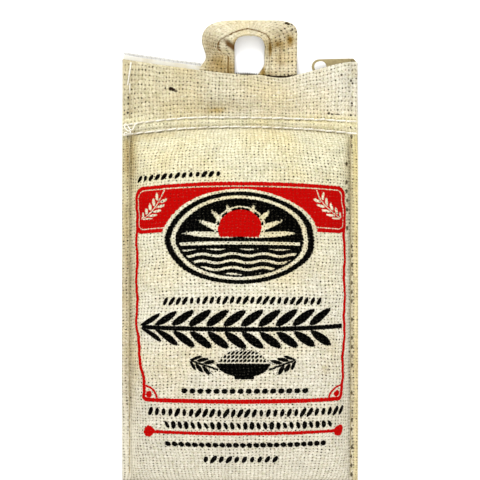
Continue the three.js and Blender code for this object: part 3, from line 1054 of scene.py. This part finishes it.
def cloth_colour(bench, across, along, tone, hole, shade):
    def patches(scale, detail, seed, edge, blur, stretch_x=1, stretch_y=1):
        return bench.noise(across * stretch_x, along * stretch_y, scale, detail, seed).above(edge, blur)

    return bench.coats(
        bench.blend(CLOTH_MID, CLOTH_LIGHT, tone.above(0.5, 0.17)),
        (MIX, CLOTH_DARK, shade * (patches(9, 3.0, 21.0, 0.5, 0.25) * 0.45 + 0.14)),
        (SOAK, YELLOWED, patches(48, 4.0, 9.0, 0.55, 0.16) * along.above(-90, 40)),
        (MIX, GREY, patches(17, 3.0, 33.0, 0.6, 0.15) * 0.25),
        (MIX, ROSY, patches(2.4, 1.0, 61.0, 0.6, 0.12) * 0.3),
        (MIX, MOSSY, patches(2.8, 1.0, 67.0, 0.6, 0.12) * 0.3),
        # Thick places in the threads, along each way of the weave
        (MIX, CLOTH_LIGHT, patches(1.6, 1.0, 12.0, 0.66, 0.06, stretch_x=0.22) * 0.6),
        (MIX, CLOTH_LIGHT, patches(1.8, 1.0, 18.0, 0.68, 0.06, stretch_y=0.22) * 0.5),
        (SOAK, GRAIN, patches(0.9, 2.0, 71.0, 0.5, 0.12)),
        (MIX, CLOTH_HOLE, hole),
    )


def finish_cloth(bench, across, along, colour, roughness, height, hole, depth):
    fuzz = bench.noise(across, along, 0.5, 3.0, 15.0)
    bench.shader.inputs["Specular IOR Level"].default_value = 0.0
    return bench.finish(colour, roughness, height * 0.8 + fuzz * 0.3 - hole * 0.5, depth)


# The print on the front: plain fields and rice motifs in red, black and bare cloth. Each shape is
# the distance to its edge in millimetres, below 0 inside it.

RED = (152, 4, 3)
BLACK = (2, 2, 2)


def ellipse(x, y, half_x, half_y):
    ratio = ((x * (1 / half_x)) ** 2 + (y * (1 / half_y)) ** 2).root()
    return (ratio - 1) * min(half_x, half_y)


def rounded_box(x, y, half_x, half_y, radius):
    out_x = (abs(x) - (half_x - radius)).most(0.0)
    out_y = (abs(y) - (half_y - radius)).most(0.0)
    inside = (abs(x) - half_x).most(abs(y) - half_y).least(0.0)
    return ((out_x * out_x + out_y * out_y).root() - radius).most(inside)


def outline(shape, half_width):
    return abs(shape) - half_width


def turned(x, y, middle, degrees):
    """Coordinates along and across a line through the middle at that angle."""
    cos, sin = math.cos(math.radians(degrees)), math.sin(math.radians(degrees))
    dx, dy = x - middle[0], y - middle[1]
    return dx * cos + dy * sin, dy * cos - dx * sin


def cell(value, pitch):
    """Distance to the middle of the nearest cell."""
    return ((value * (1 / pitch)).fract() - 0.5) * pitch


def grain_row(bench, x, y, middle, count, pitch, half_height, fat=0.34, lean=0.3):
    """A row of leaning grains, no two quite alike."""
    up = y - middle[1]
    shifted = x - middle[0] + (0.5 * pitch if count % 2 else 0.0)
    luck = bench.chance((shifted * (1 / pitch)).floor(), middle[1])
    leaning = cell(shifted, pitch) - up * (luck * 0.5 + lean - 0.25)
    size = luck * 0.35 + 0.75
    reach = ((leaning * (1 / (pitch * fat))) ** 2 + (up * (1 / half_height)) ** 2).root()
    return ((reach - size) * half_height).most(abs(x - middle[0]) - count * pitch / 2)


def dot_row(x, y, middle, count, pitch, radius):
    shifted = x - middle[0] + (0.5 * pitch if count % 2 else 0.0)
    dot = ellipse(cell(shifted, pitch), y - middle[1], radius, radius)
    return dot.most(abs(x - middle[0]) - count * pitch / 2)


def rice_ear(x, y, count, pitch, half_height, stem, fat=0.36):
    """An ear of rice along X: a stem with grains that lean away from it on both sides. Its tip
    points to -X, and the stem goes on past the last grain at the other end."""
    half = count * pitch / 2
    taper = 1 - ((-x).most(0.0) * (0.86 / half)) ** 4
    up = abs(y) / taper.most(0.2)
    shifted = x - up * 0.9 + half_height * 0.5
    middle = half_height * 0.57
    grain = ellipse(cell(shifted, pitch), up - middle, pitch * fat, half_height * 0.43)
    grain = grain.most(-(shifted + half)).most(shifted - half + pitch * 0.9)
    stalk = (abs(y) - stem).most(abs(x) - half)
    return grain.least(stalk)


MEDALLION = (0, 12.5)
MEDALLION_HALF = (43.5, 31)
BAND_MIDDLE, BAND_HALF = (0.6, 34.0), (65.4, 16.2)
FRAME_MIDDLE, FRAME_HALF = (0.6, -28.0), (64.0, 69.6)


def medallion(x, y):
    """Black oval with a ring of bare cloth, and a red sun with rays over water. Gives its outer
    edge, then its bare parts, then its red parts."""
    up = y - MEDALLION[1]
    rim = ellipse(x, up, *MEDALLION_HALF)
    ring = outline(rim + 3.6, 1.1)
    field = rim + 5.8
    sun = ellipse(x, up - 6.5, 12.5, 12.5).most(-(up - 0.5))
    halo = outline(ellipse(x, up - 6.5, 14.3, 14.3), 0.6).most(-(up - 0.5))
    side = abs(x)
    bare = halo
    for degrees, reach in ((72, 11.5), (48, 12.0), (26, 13.0), (6, 16.0)):
        along, aside = turned(side, up, (1.0, 0.5), degrees)
        bare = bare.least(ellipse(along - reach, aside, reach, 2.0))
    ground = outline(up + 3.6, 1.2)
    water = outline(cell(up + (x * 0.35).sine() * 0.8, 4.6), 0.95).most(up + 7.4)
    bare = bare.least(ground).least(water).most(field)
    return rim, bare.least(ring), sun.most(field)


def bowl(bench, x, y, middle):
    """A bowl heaped with rice, between two sprigs."""
    dx, dy = x - middle[0], y - middle[1]
    cup = ellipse(dx, dy, 15.5, 9.5).most(dy + 0.6)
    foot = rounded_box(dx, dy + 9.6, 5.5, 1.3, 0.6)
    heap = ellipse(dx, dy - 0.6, 13.2, 8.2).most(0.6 - dy)
    grains = grain_row(bench, dx, cell(dy, 2.7), (0, 0), 12, 2.3, 1.3, 0.4, 0.5).most(heap)
    side = abs(dx)
    sprig_x, sprig_y = turned(side, dy, (22.5, -1.5), 22)
    sprig = rice_ear(-sprig_x, sprig_y, 4, 4.2, 5.2, 0.6, 0.44)
    return cup.least(foot).least(grains).least(sprig)


def banner(x, y):
    """The red band at the top, with a bare line inside its edge and a bare sprig at each end."""
    dx, dy = x - BAND_MIDDLE[0], y - BAND_MIDDLE[1]
    band = rounded_box(dx, dy, *BAND_HALF, 6)
    inline = outline(rounded_box(dx, dy, 62.6, 13.3, 4), 0.42)
    along, aside = turned(abs(dx), y, (50.5, 35.5), 128)
    sprigs = rice_ear(along, aside + 0.02 * along * along, 6, 4.0, 4.6, 0.45)
    return band.most(-inline).most(-sprigs)


def border(x, y):
    """The red frame below the band. It narrows towards the foot and has a curl in each corner."""
    narrowing = (-40 - y).above(30, 30)
    dx = (x - FRAME_MIDDLE[0] - narrowing * 1.8) * (1 + narrowing * 0.075)
    dy = y - FRAME_MIDDLE[1]
    line = outline(rounded_box(dx, dy, *FRAME_HALF, 2.5), 1.15)
    line = (line - dy.below(-66, 2) * 0.15).most(y - 30)
    in_x, in_y = FRAME_HALF[0] - abs(dx), dy + FRAME_HALF[1]
    curl = outline(ellipse(in_x, in_y, 9.5, 9.5), 0.6).most(-in_x).most(-in_y)
    return line.least(curl).least(ellipse(in_x - 3.8, in_y - 3.8, 2.1, 2.1))


def rule(x, y):
    """The red line between the lowest rows, with a knob at each end."""
    dx, dy = x - 3, y + 119.8
    return rounded_box(dx, dy, 58, 1.05, 0.7).least(ellipse(abs(dx) - 58, dy, 3.4, 3.8))


def label(bench, x, y, height):
    """Gives the share of red ink and of black ink at a place on the cloth, whose weave has that
    height there. The print sags between the seams, most at the foot."""
    y -= (x * (1 / 64)) ** 2 * y.below(-55, 45) * 2.6
    rim, bare, sun = medallion(x, y)
    red = banner(x, y).most(2.0 - rim).least(border(x, y)).least(rule(x, y)).least(sun)
    black = rim.most(-bare).most(-sun)
    ear_y = y + 49.0 - 3.2 * (x * (1 / 66)) ** 2
    for row in (
        grain_row(bench, x, y, (-38, 56), 13, 4.1, 2.1),
        grain_row(bench, x, y, (1, -29.4), 24, 3.9, 2.9),
        rice_ear(x - 2, ear_y, 12, 10.0, 13.0, 1.5, 0.37),
        bowl(bench, x, y, (2, -71.5)),
        dot_row(x, y, (3, -90.6), 16, 4.7, 1.7),
        grain_row(bench, x, y, (4, -105.6), 29, 4.1, 3.0),
        grain_row(bench, x, y, (5, -114.4), 26, 3.9, 2.6, 0.34, -0.3),
        dot_row(x, y, (4, -128.0), 24, 4.1, 1.7),
        grain_row(bench, x, y, (0, -139.0), 10, 4.8, 2.9),
    ):
        black = black.least(row)
    ragged = (bench.noise(x, y, 1.1, 2.0, 3.3) - 0.5) * 0.8 + (0.62 - height) * 0.9
    return (red + ragged).below(0, 0.2), (black + ragged).below(0, 0.2)


def spots(bench, x, y, places, grain, soft):
    """Marks with ragged edges. Each place is (x, y, half_x, half_y, strength), grain is the size
    of the raggedness and soft is 0 for a crisp edge, 0.5 for one that fades all the way."""
    ragged = (bench.noise(x, y, grain, 3.0, 5.7) - 0.5) * 0.9
    total = None
    for spot_x, spot_y, half_x, half_y, strength in places:
        reach = ellipse((x - spot_x) * (1 / half_x), (y - spot_y) * (1 / half_y), 1, 1)
        share = (reach + ragged).below(-soft, soft) * strength
        total = share if total is None else total.most(share)
    return total


FLECKS_AND_LIP_SHADOW = (
    (-47.0, 115.2, 1.9, 1.7, 1.0), (-45.4, 114.4, 1.8, 1.2, 1.0), (-43.9, 113.5, 1.7, 0.7, 1.0),
    (-50.8, 115.4, 0.7, 1.1, 0.95), (60.4, 98.2, 1.0, 1.1, 0.9), (62.4, 97.7, 1.2, 0.8, 0.85),
    (66.4, 97.6, 2.0, 0.7, 0.7), (59.3, 52.6, 0.9, 0.8, 0.9), (59.0, -74.7, 1.2, 0.9, 0.5),
    (-32.7, 59.8, 0.9, 0.8, 0.6), (-60.1, -127.8, 1.4, 0.6, 0.6), (-54.6, 85.5, 2.6, 0.6, 0.6),
    (69.0, 124.6, 0.9, 0.9, 0.8), (-75.9, 109.2, 0.9, 1.1, 0.95), (-76.0, 104.9, 0.8, 1.0, 0.9),
    (-76.3, 98.8, 0.9, 1.0, 0.9), (75.5, 120.6, 0.8, 1.0, 0.9), (76.1, 105.1, 1.0, 1.0, 0.9),
    (75.2, 97.0, 0.9, 1.0, 0.95), (75.1, 88.9, 0.8, 1.0, 0.85), (75.2, 81.9, 0.8, 1.0, 0.8),
    # The last is a painted shadow along the edge of the front lip under the handle
    (6.2, 124.9, 9.6, 0.6, 0.9),
)
# Real stains, and painted shade in the header's dimple, below the lower row on the left and along the side
# valleys
SHADE_AND_STAINS = (
    (-17, 100.5, 16, 5.4, 0.9), (-12, 103, 30, 9.0, 0.35), (-62, 83, 30, 6, 0.5), (57.8, -74, 6, 6, 0.3),
    (-76, 66, 10, 30, 0.7), (-72, 82, 9, 8, 0.6), (-77, 0, 6, 85, 0.4), (73.5, 50, 5, 60, 0.25),
    (78, 127, 4, 7, 0.3),
)
# Painted light: pale patches that lift the shade of the lower left valley and of the band between the rows
PAINTED_LIGHT_PATCHES = (
    (-75, -124, 8, 36, 0.45), (-30, 92, 40, 2.6, 0.3), (40, 91, 40, 2.6, 0.3),
)
PAINTED_LIGHT = (216, 210, 190)
HEADER_Y = 96
FRONT_END = 160  # the way along the flat cloth at which the front is past the lip
HEADER_TINT = (237, 231, 210)
BAND_TINT = (255, 252, 222)
BODY_TINT = (251, 250, 232)
FOOT_SHADE = (247, 245, 242)


def needle_marks(bench, x, y):
    """Dark holes where the needle of the side seams went in. The right seam is drawn in midway."""
    way = y - FOOT_SEAM_Y - 5 + SIDE_STITCH / 2
    on_right = x.above(0, 1)
    drawn_in = y.above(14, 6) * y.below(72, 6) * on_right * 3.2
    pulled = bench.chance((way * (1 / SIDE_STITCH)).floor(), on_right)
    aside = abs(x) - SEAM_X - 0.6 + drawn_in + (pulled - 0.5) * 0.8
    mark = ellipse(aside, cell(way, SIDE_STITCH), 0.8, 1.3).below(0.1, 0.28)
    return mark * (on_right * 0.8 + 0.2) * y.below(86, 2) * pulled.above(0.22, 0.2) * 0.9


def sack_finish():
    bench = Bench("printed_cotton")
    across, along = bench.cloth_coordinates()
    x, y = bench.object_coordinates()[:2]
    height, hole, tone, shade = weave(bench, across, along)
    on_front = along.below(FRONT_END, 0.5)
    on_header = y.above(HEADER_Y, 3)
    below_rows = y.below(84, 4) * on_front
    tight = y.above(76, 8) * (1 - on_header)
    open_hole = hole * (1.25 - on_header * 0.25 - tight * 0.6)
    streaks = bench.noise(x, y * 0.05, 1.5, 2.0, 5.0).above(0.52, 0.12)
    streaks *= abs(x).above(72, 2) * below_rows * y.above(-110, 40) * 0.2
    red, black = label(bench, across, along, height)
    worn = bench.noise(across, along, 0.9, 2.0, 14.0).above(0.66, 0.06) * 0.3
    taken = (1 - hole * 0.08) * (1 - worn * (1 - height)) * on_front
    colour = bench.coats(
        cloth_colour(bench, across, along, tone, open_hole, shade * (1 - tight * 0.3)),
        # Painted shade in the valleys beside the side seams and along the rows of stitching
        (SOAK, DIRT_AND_SHADE, bench.attribute("hollow") * 0.8),
        (SOAK, HEADER_TINT, on_header * (x.below(0, 75) * 0.8 + 0.2)),
        (SOAK, BAND_TINT, y.above(88, 6) * (1 - on_header) * 0.8),
        (SOAK, BODY_TINT, y.above(10, 90) * (1 - y.above(86, 6))),
        # Painted shade: a little darker towards the foot, as the light falls from the top
        (SOAK, FOOT_SHADE, y.below(-70, 30)),
        (SOAK, OCHRE, x.above(76.2, 3.0) * below_rows),
        (SOAK, DIRT_AND_SHADE, streaks),
        # Stains, and painted shade in the header's dimple, below the lower row and along the side valleys
        (SOAK, DIRT_AND_SHADE, spots(bench, x, y, SHADE_AND_STAINS, 5, 0.5) * on_front),
        # Painted light on the lower left valley and on the band between the rows
        (MIX, PAINTED_LIGHT, spots(bench, x, y, PAINTED_LIGHT_PATCHES, 5, 0.5) * on_front),
        # Dark flecks and needle holes, and a painted shadow along the front lip's edge
        (MIX, FLECK_AND_SHADOW, spots(bench, x, y, FLECKS_AND_LIP_SHADOW, 1.4, 0.18) * on_front),
        (MIX, NEEDLE_MARK, needle_marks(bench, x, y) * on_front),
        (MIX, RED, red * taken),
        (MIX, BLACK, black * taken),
    )
    roughness = COTTON_ROUGHNESS - red.most(black) * INK_GLOSS
    return finish_cloth(bench, across, along, colour, roughness, height, hole, SACK_WEAVE_DEPTH)


# Darker patches on the strap: stains, and painted shade in the strap's hollows
STRAP_STAINS_AND_SHADE = (
    (33.8, 148, 5.4, 8.0, 1.0), (27, 145.5, 14, 6, 0.8), (20.6, 142.5, 2.4, 8, 1.0),
    (15.0, 126, 3.2, 9, 1.0), (-13, 129, 17, 18, 0.85), (-2.6, 146, 3.6, 5.0, 1.0),
    (-20, 146, 8, 12, 0.35), (10, 125, 40, 4, 0.6), (28, 136, 14, 10, 0.4),
)
STRAP_DARK_STAINS_AND_SHADE = (
    (34.2, 148.4, 3.0, 4.6, 1.0), (16.2, 126, 2.2, 8, 0.9), (-6, 129, 6, 14, 0.6),
    (-14, 133, 10, 10, 0.5), (-2.6, 146.4, 2.8, 3.4, 0.8), (20.6, 143, 1.9, 6.5, 0.9),
    (25.6, 145.4, 5, 3, 0.5),
)
# Painted shade in small hollows of the strap
STRAP_HOLLOW_SHADE = (
    (20.4, 145.8, 0.9, 2.2, 0.6), (25.6, 145.4, 1.4, 2.2, 0.7), (34.2, 148.4, 1.9, 2.8, 0.7),
)
STRAP_MARKS = (
    (31.4, 159.9, 1.5, 0.8, 1.0), (33.0, 159.3, 1.3, 1.0, 1.0), (35.6, 155.6, 0.9, 1.2, 0.9),
    (34.6, 157.6, 0.6, 0.6, 0.7),
)
STRAP_GREY = (
    (28, 154, 12, 8, 0.7), (-21, 142, 9, 20, 0.7), (27.6, 134, 2.6, 16, 0.7),
)
FADED_CREASE = (
    (-11.5, 140, 6, 3.6, 1.0),
)
GREY_STAIN = (206, 200, 190)
STRAP_TINT = (243, 237, 222)


def fold_shade_and_seams(bench, x, y, across, along):
    """The painted shade along the fold's free edge, and a faint second row of stitches over the arch."""
    waver = (bench.noise(along, across, 5, 2.0, 4.0) - 0.5) * 0.9
    fold = ring_lengths()[FOLD_FOOT] - STRAP_WIDTH / 2
    on_left_leg = x.below(-2, 2) * y.below(142, 6)
    on_right_leg = x.above(18, 2) * y.below(147, 3)
    line = (abs(across - fold + waver) - 0.55 - on_left_leg * 0.25).below(0, 0.5)
    line *= 1 - spots(bench, x, y, FADED_CREASE, 3, 0.5)
    broken = bench.noise(along, across, 3.0, 2.0, 14.0).above(0.47, 0.12) * 0.65 + 0.4
    stitched = (abs(cell(y, 1.9)) - 0.5).below(0, 0.3)
    broken += on_left_leg * (stitched * 0.6 - 0.15)
    second = (abs(across + 3.8 + waver) - 0.2).below(0, 0.35)
    second *= (abs(cell(along, 2.2)) - 0.6).below(0, 0.3) * y.above(143, 4) * x.below(22, 6) * 0.5
    return line * broken * (1 - on_right_leg * 0.7), second


def strap_shade(bench, x, y):
    """Painted shade in the pit where the left leg turns in, and a painted shadow in the slit under the
    right leg.
    """
    along, aside = turned(x, y, (-6.4, 144.7), -40)
    pit = ellipse(along, aside, 4.6, 1.5) + (bench.noise(x, y, 2.0, 2.0, 3.7) - 0.5) * 1.4
    slit_top = (x - 28) * (x - 28) * 0.01 + 124.0
    ragged = (bench.noise(x, y, 1.6, 2.0, 3.0) - 0.5) * 2.2
    slit = (y - slit_top + ragged).below(0, 0.3) * abs(x - 28).below(10.6, 0.8)
    return pit.below(0.2, 0.9) * 0.95, slit


def strap_finish():
    bench = Bench("strap_cotton")
    across, along = bench.cloth_coordinates()
    x, y = bench.object_coordinates()[:2]
    height, hole, tone, shade = weave(bench, across, along)
    taut = y.above(149, 5) * x.below(24, 6)
    line, second = fold_shade_and_seams(bench, x, y, across, along)
    pit, slit = strap_shade(bench, x, y)
    open_hole = hole * (1.35 - taut * 1.05)
    colour = bench.coats(
        cloth_colour(bench, across, along, tone, open_hole, shade * (1 - taut * 0.5)),
        (SOAK, STRAP_TINT, 1.0),
        (SOAK, GREY_STAIN, spots(bench, x, y, STRAP_GREY, 5, 0.5)),
        # Stains, and painted shade in the strap's hollows
        (SOAK, DIRT_AND_SHADE, spots(bench, x, y, STRAP_STAINS_AND_SHADE, 5, 0.5)),
        (SOAK, DIRT_AND_SHADE, spots(bench, x, y, STRAP_DARK_STAINS_AND_SHADE, 3, 0.5)),
        # Painted shade along the fold's free edge
        (MIX, CREASE_SHADE_AND_SEAM, line),
        (MIX, CREASE_SHADE_AND_SEAM, second),
        # Painted shade in the strap's small hollows
        (MIX, CREASE_SHADE_AND_SEAM, spots(bench, x, y, STRAP_HOLLOW_SHADE, 2, 0.4)),
        # Painted shade in the pit and painted shadow in the slit
        (MIX, PIT_SHADE, pit),
        (MIX, SLIT_SHADOW, slit),
        (MIX, STRAP_MARK, spots(bench, x, y, STRAP_MARKS, 1.4, 0.2)),
    )
    return finish_cloth(
        bench, across, along, colour, COTTON_ROUGHNESS, height, hole, STRAP_WEAVE_DEPTH
    )


WHITE, WHITE_SHADE = (225, 222, 212), (184, 176, 154)
NATURAL, NATURAL_SHADE = (170, 158, 122), (132, 118, 84)
HEADER_THREAD_SHADE = (160, 152, 126)


def thread_finish(name, light, dark, upper_light=None, upper_dark=None, upper_y=0):
    """Twisted cotton: fine slanting plies. The thread may have other colours above some y."""
    bench = Bench(name)
    x, y, z = bench.object_coordinates()
    ply = ((x + y * 0.8 + z * 1.5) * 5.2).sine() * 0.5 + 0.5
    fuzz = bench.noise(x, y, 0.4, 3.0, 2.0)
    lit = (ply * 0.5 + fuzz * 0.6).above(0.45, 0.3)
    lit *= 1 - bench.noise(x, y, 5, 2.0, 9.0).above(0.55, 0.1) * 0.8
    colour = bench.blend(dark, light, lit)
    if upper_light:
        colour = bench.blend(colour, bench.blend(upper_dark, upper_light, lit), y.above(upper_y, 1.0))
    return bench.finish(colour, 0.9, ply * 0.7 + fuzz * 0.4, 0.2)


TAPE_WHITE, TAPE_GRIME, TAPE_RIB = (214, 212, 202), (196, 184, 150), (182, 176, 158)
NYLON_WHITE, NYLON_GRIME, NYLON_GAP = (206, 204, 196), (150, 144, 128), (84, 82, 72)
# Painted shadow on the zip's wire inside the mouth
MOUTH_SHADOW = (34, 28, 18)
KHAKI, KHAKI_WORN, KHAKI_UNDER_SHADE = (138, 124, 82), (114, 100, 62), (86, 74, 46)
FLOOR_PALE, FLOOR_TINT = (250, 250, 250), (246, 246, 245)


def tape_finish():
    """Zip tape: fine ribs across its length."""
    bench = Bench("zip_tape_weave")
    x, y = bench.object_coordinates()[:2]
    rib = (x * 7.0).sine() * 0.5 + 0.5
    herring = ((y + x * 0.5) * 9.0).sine() * 0.5 + 0.5
    grime = bench.noise(x, y, 12, 3.0, 1.0).above(0.55, 0.2) * 0.6
    colour = bench.coats(TAPE_WHITE, (MIX, TAPE_GRIME, grime), (MIX, TAPE_RIB, (1 - rib) * 0.3))
    return bench.finish(colour, 0.8, rib * 0.6 + herring * 0.4, 0.15)


def nylon_finish():
    """The zip's wire, with every other turn in shade, and a painted shadow where it lies in the mouth."""
    bench = Bench("zip_nylon")
    x, y, z = bench.object_coordinates()
    second_turn = (abs(cell(x + HALF_WIDTH, 2 * COIL_PITCH)) - 0.5).below(0, 0.3)
    colour = bench.coats(
        NYLON_WHITE,
        (MIX, NYLON_GRIME, bench.noise(x, y + z, 3, 3.0, 1.0).above(0.5, 0.2) * 0.6),
        (MIX, NYLON_GAP, second_turn * 0.8),
        (MIX, MOUTH_SHADOW, x.above(-9, 2) * x.below(22, 2)),
    )
    return bench.finish(colour, 0.45, bench.noise(x, y, 0.8, 2.0, 3.0), 0.05)


def enamel_finish():
    """Khaki paint on the zip's slider and pull, worn a little at its edges, with painted shade on its
    lower part.
    """
    bench = Bench("zip_enamel")
    x, y, z = bench.object_coordinates()
    speck = bench.noise(x, y, 1.6, 4.0, 6.0)
    worn = speck.above(0.52, 0.2) * 0.7
    colour = bench.coats(KHAKI, (MIX, KHAKI_WORN, worn), (MIX, KHAKI_UNDER_SHADE, (z - 4.3).below(0, 0.3) * 0.5))
    return bench.finish(colour, speck * 0.25 + 0.3, speck, 0.06)


def floor_finish():
    bench = Bench("pale_floor")
    x, y = bench.object_coordinates()[:2]
    return bench.finish(bench.blend(FLOOR_PALE, FLOOR_TINT, bench.noise(x, y, 220, 2.0, 0.0)), 0.9)


# Pieces


def dress(piece, material, slot_name, *nodes):
    piece.data.materials.clear()
    piece.data.materials.append(material)
    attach(piece, "root")
    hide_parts(*nodes)
    return piece


white_cotton = thread_finish("white_thread", WHITE, WHITE_SHADE)
natural_cotton = thread_finish("natural_thread", NATURAL, NATURAL_SHADE)
left_cotton = thread_finish("natural_thread_left", NATURAL, NATURAL_SHADE, WHITE, WHITE_SHADE, 112)
right_cotton = thread_finish(
    "natural_thread_right", NATURAL, NATURAL_SHADE, CLOTH_MID, HEADER_THREAD_SHADE, 84
)

dress(make_sack(), sack_finish(), "cotton_cloth", "sack")
dress(make_handle(), strap_finish(), "cotton_cloth", "handle")
for name, row, seed, node in (
    ("closing_stitches_upper", UPPER_ROW, 21, "closing_thread_upper"),
    ("closing_stitches_lower", LOWER_ROW, 47, "closing_thread_lower"),
):
    stitches = seam_row(name, CLOSING_STITCH, CLOSING_RADIUS, closing_spots(row, seed))
    dress(stitches, white_cotton, "white_thread", node)
for name, places, finish, node in (
    ("side_stitches_left", side_spots(-SEAM_X, LEFT_ROW_END_Y), left_cotton, "side_thread_left"),
    ("side_stitches_right", side_spots(SEAM_X, RIGHT_ROW_END_Y), right_cotton, "side_thread_right"),
    ("foot_stitches", foot_spots(), natural_cotton, "foot_thread"),
):
    stitches = seam_row(name, SIDE_STITCH, SIDE_RADIUS, places)
    if name == "side_stitches_left":
        stitches = joined([stitches, long_stitch()], name)
    dress(stitches, finish, "white_thread", node)
loose_thread = tube("loose_thread", "BEZIER", TAIL_ROUTE, TAIL_RADIUS)
dress(loose_thread, white_cotton, "white_thread", "thread_tail")
dress(make_zip_coil(), nylon_finish(), "zip_nylon", "zip_teeth")
khaki = enamel_finish()
dress(bevelled_copy("zip_slider", "zip_slider_body", 0.25), khaki, "zip_nylon", "zip_slider")
dress(bevelled_copy("zip_pull", "zip_pull_tab", 0.35), khaki, "zip_enamel", "zip_pull")

tape_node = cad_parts["zip_tape"]
tape_node.data.materials.clear()
tape_node.data.materials.append(tape_finish())


# Floor, light and camera, in metres apart from the sensor, which Blender has in millimetres

PHOTO_SIZE = 480
PIXEL = 0.68 * MM
PHOTO_CENTRE_ROW = 258  # the photo's row that crosses the origin
LENS_HEIGHT = 2.2
SENSOR = 36.0
FLOOR_SIZE = 6
# Each light: its place, its size and its power
KEY_LIGHT = ((-0.3, 1.3, 0.9), 0.9, 22)
FILL_LIGHT = ((0.3, -1.3, 0.7), 1.2, 12)
WORLD_STRENGTH = 1.25


def make_floor():
    deselect()
    bpy.ops.mesh.primitive_plane_add(size=FLOOR_SIZE, location=(0, 0, 0))
    floor = named(bpy.context.object, "floor")
    floor.data.materials.append(floor_finish())


def lamp(name, place, size, power):
    """A square light that is aimed at the origin."""
    data = bpy.data.lights.new(name, "AREA")
    data.shape = "SQUARE"
    data.size = size
    data.energy = power
    light = bpy.data.objects.new(name, data)
    bpy.context.collection.objects.link(light)
    light.location = place
    light.rotation_euler = (-Vector(place)).to_track_quat("-Z", "Y").to_euler()


def make_lights():
    lamp("key", *KEY_LIGHT)
    lamp("fill", *FILL_LIGHT)
    world = bpy.data.worlds.new("studio")
    world.use_nodes = True
    background = world.node_tree.nodes["Background"]
    background.inputs["Color"].default_value = (1, 1, 1, 1)
    background.inputs["Strength"].default_value = WORLD_STRENGTH
    bpy.context.scene.world = world


def make_camera():
    """Straight above, so that the photo's pixels keep their scale at the height of the header."""
    data = bpy.data.cameras.new("camera")
    data.sensor_width = SENSOR
    data.lens = SENSOR * LENS_HEIGHT / (PHOTO_SIZE * PIXEL)
    camera = bpy.data.objects.new("camera", data)
    bpy.context.collection.objects.link(camera)
    middle_y = (PHOTO_CENTRE_ROW - PHOTO_SIZE / 2) * PIXEL
    camera.location = (0, middle_y, LENS_HEIGHT + MOUTH * MM)
    bpy.context.scene.camera = camera


make_floor()
make_lights()
make_camera()
bpy.context.scene.view_settings.view_transform = "Standard"
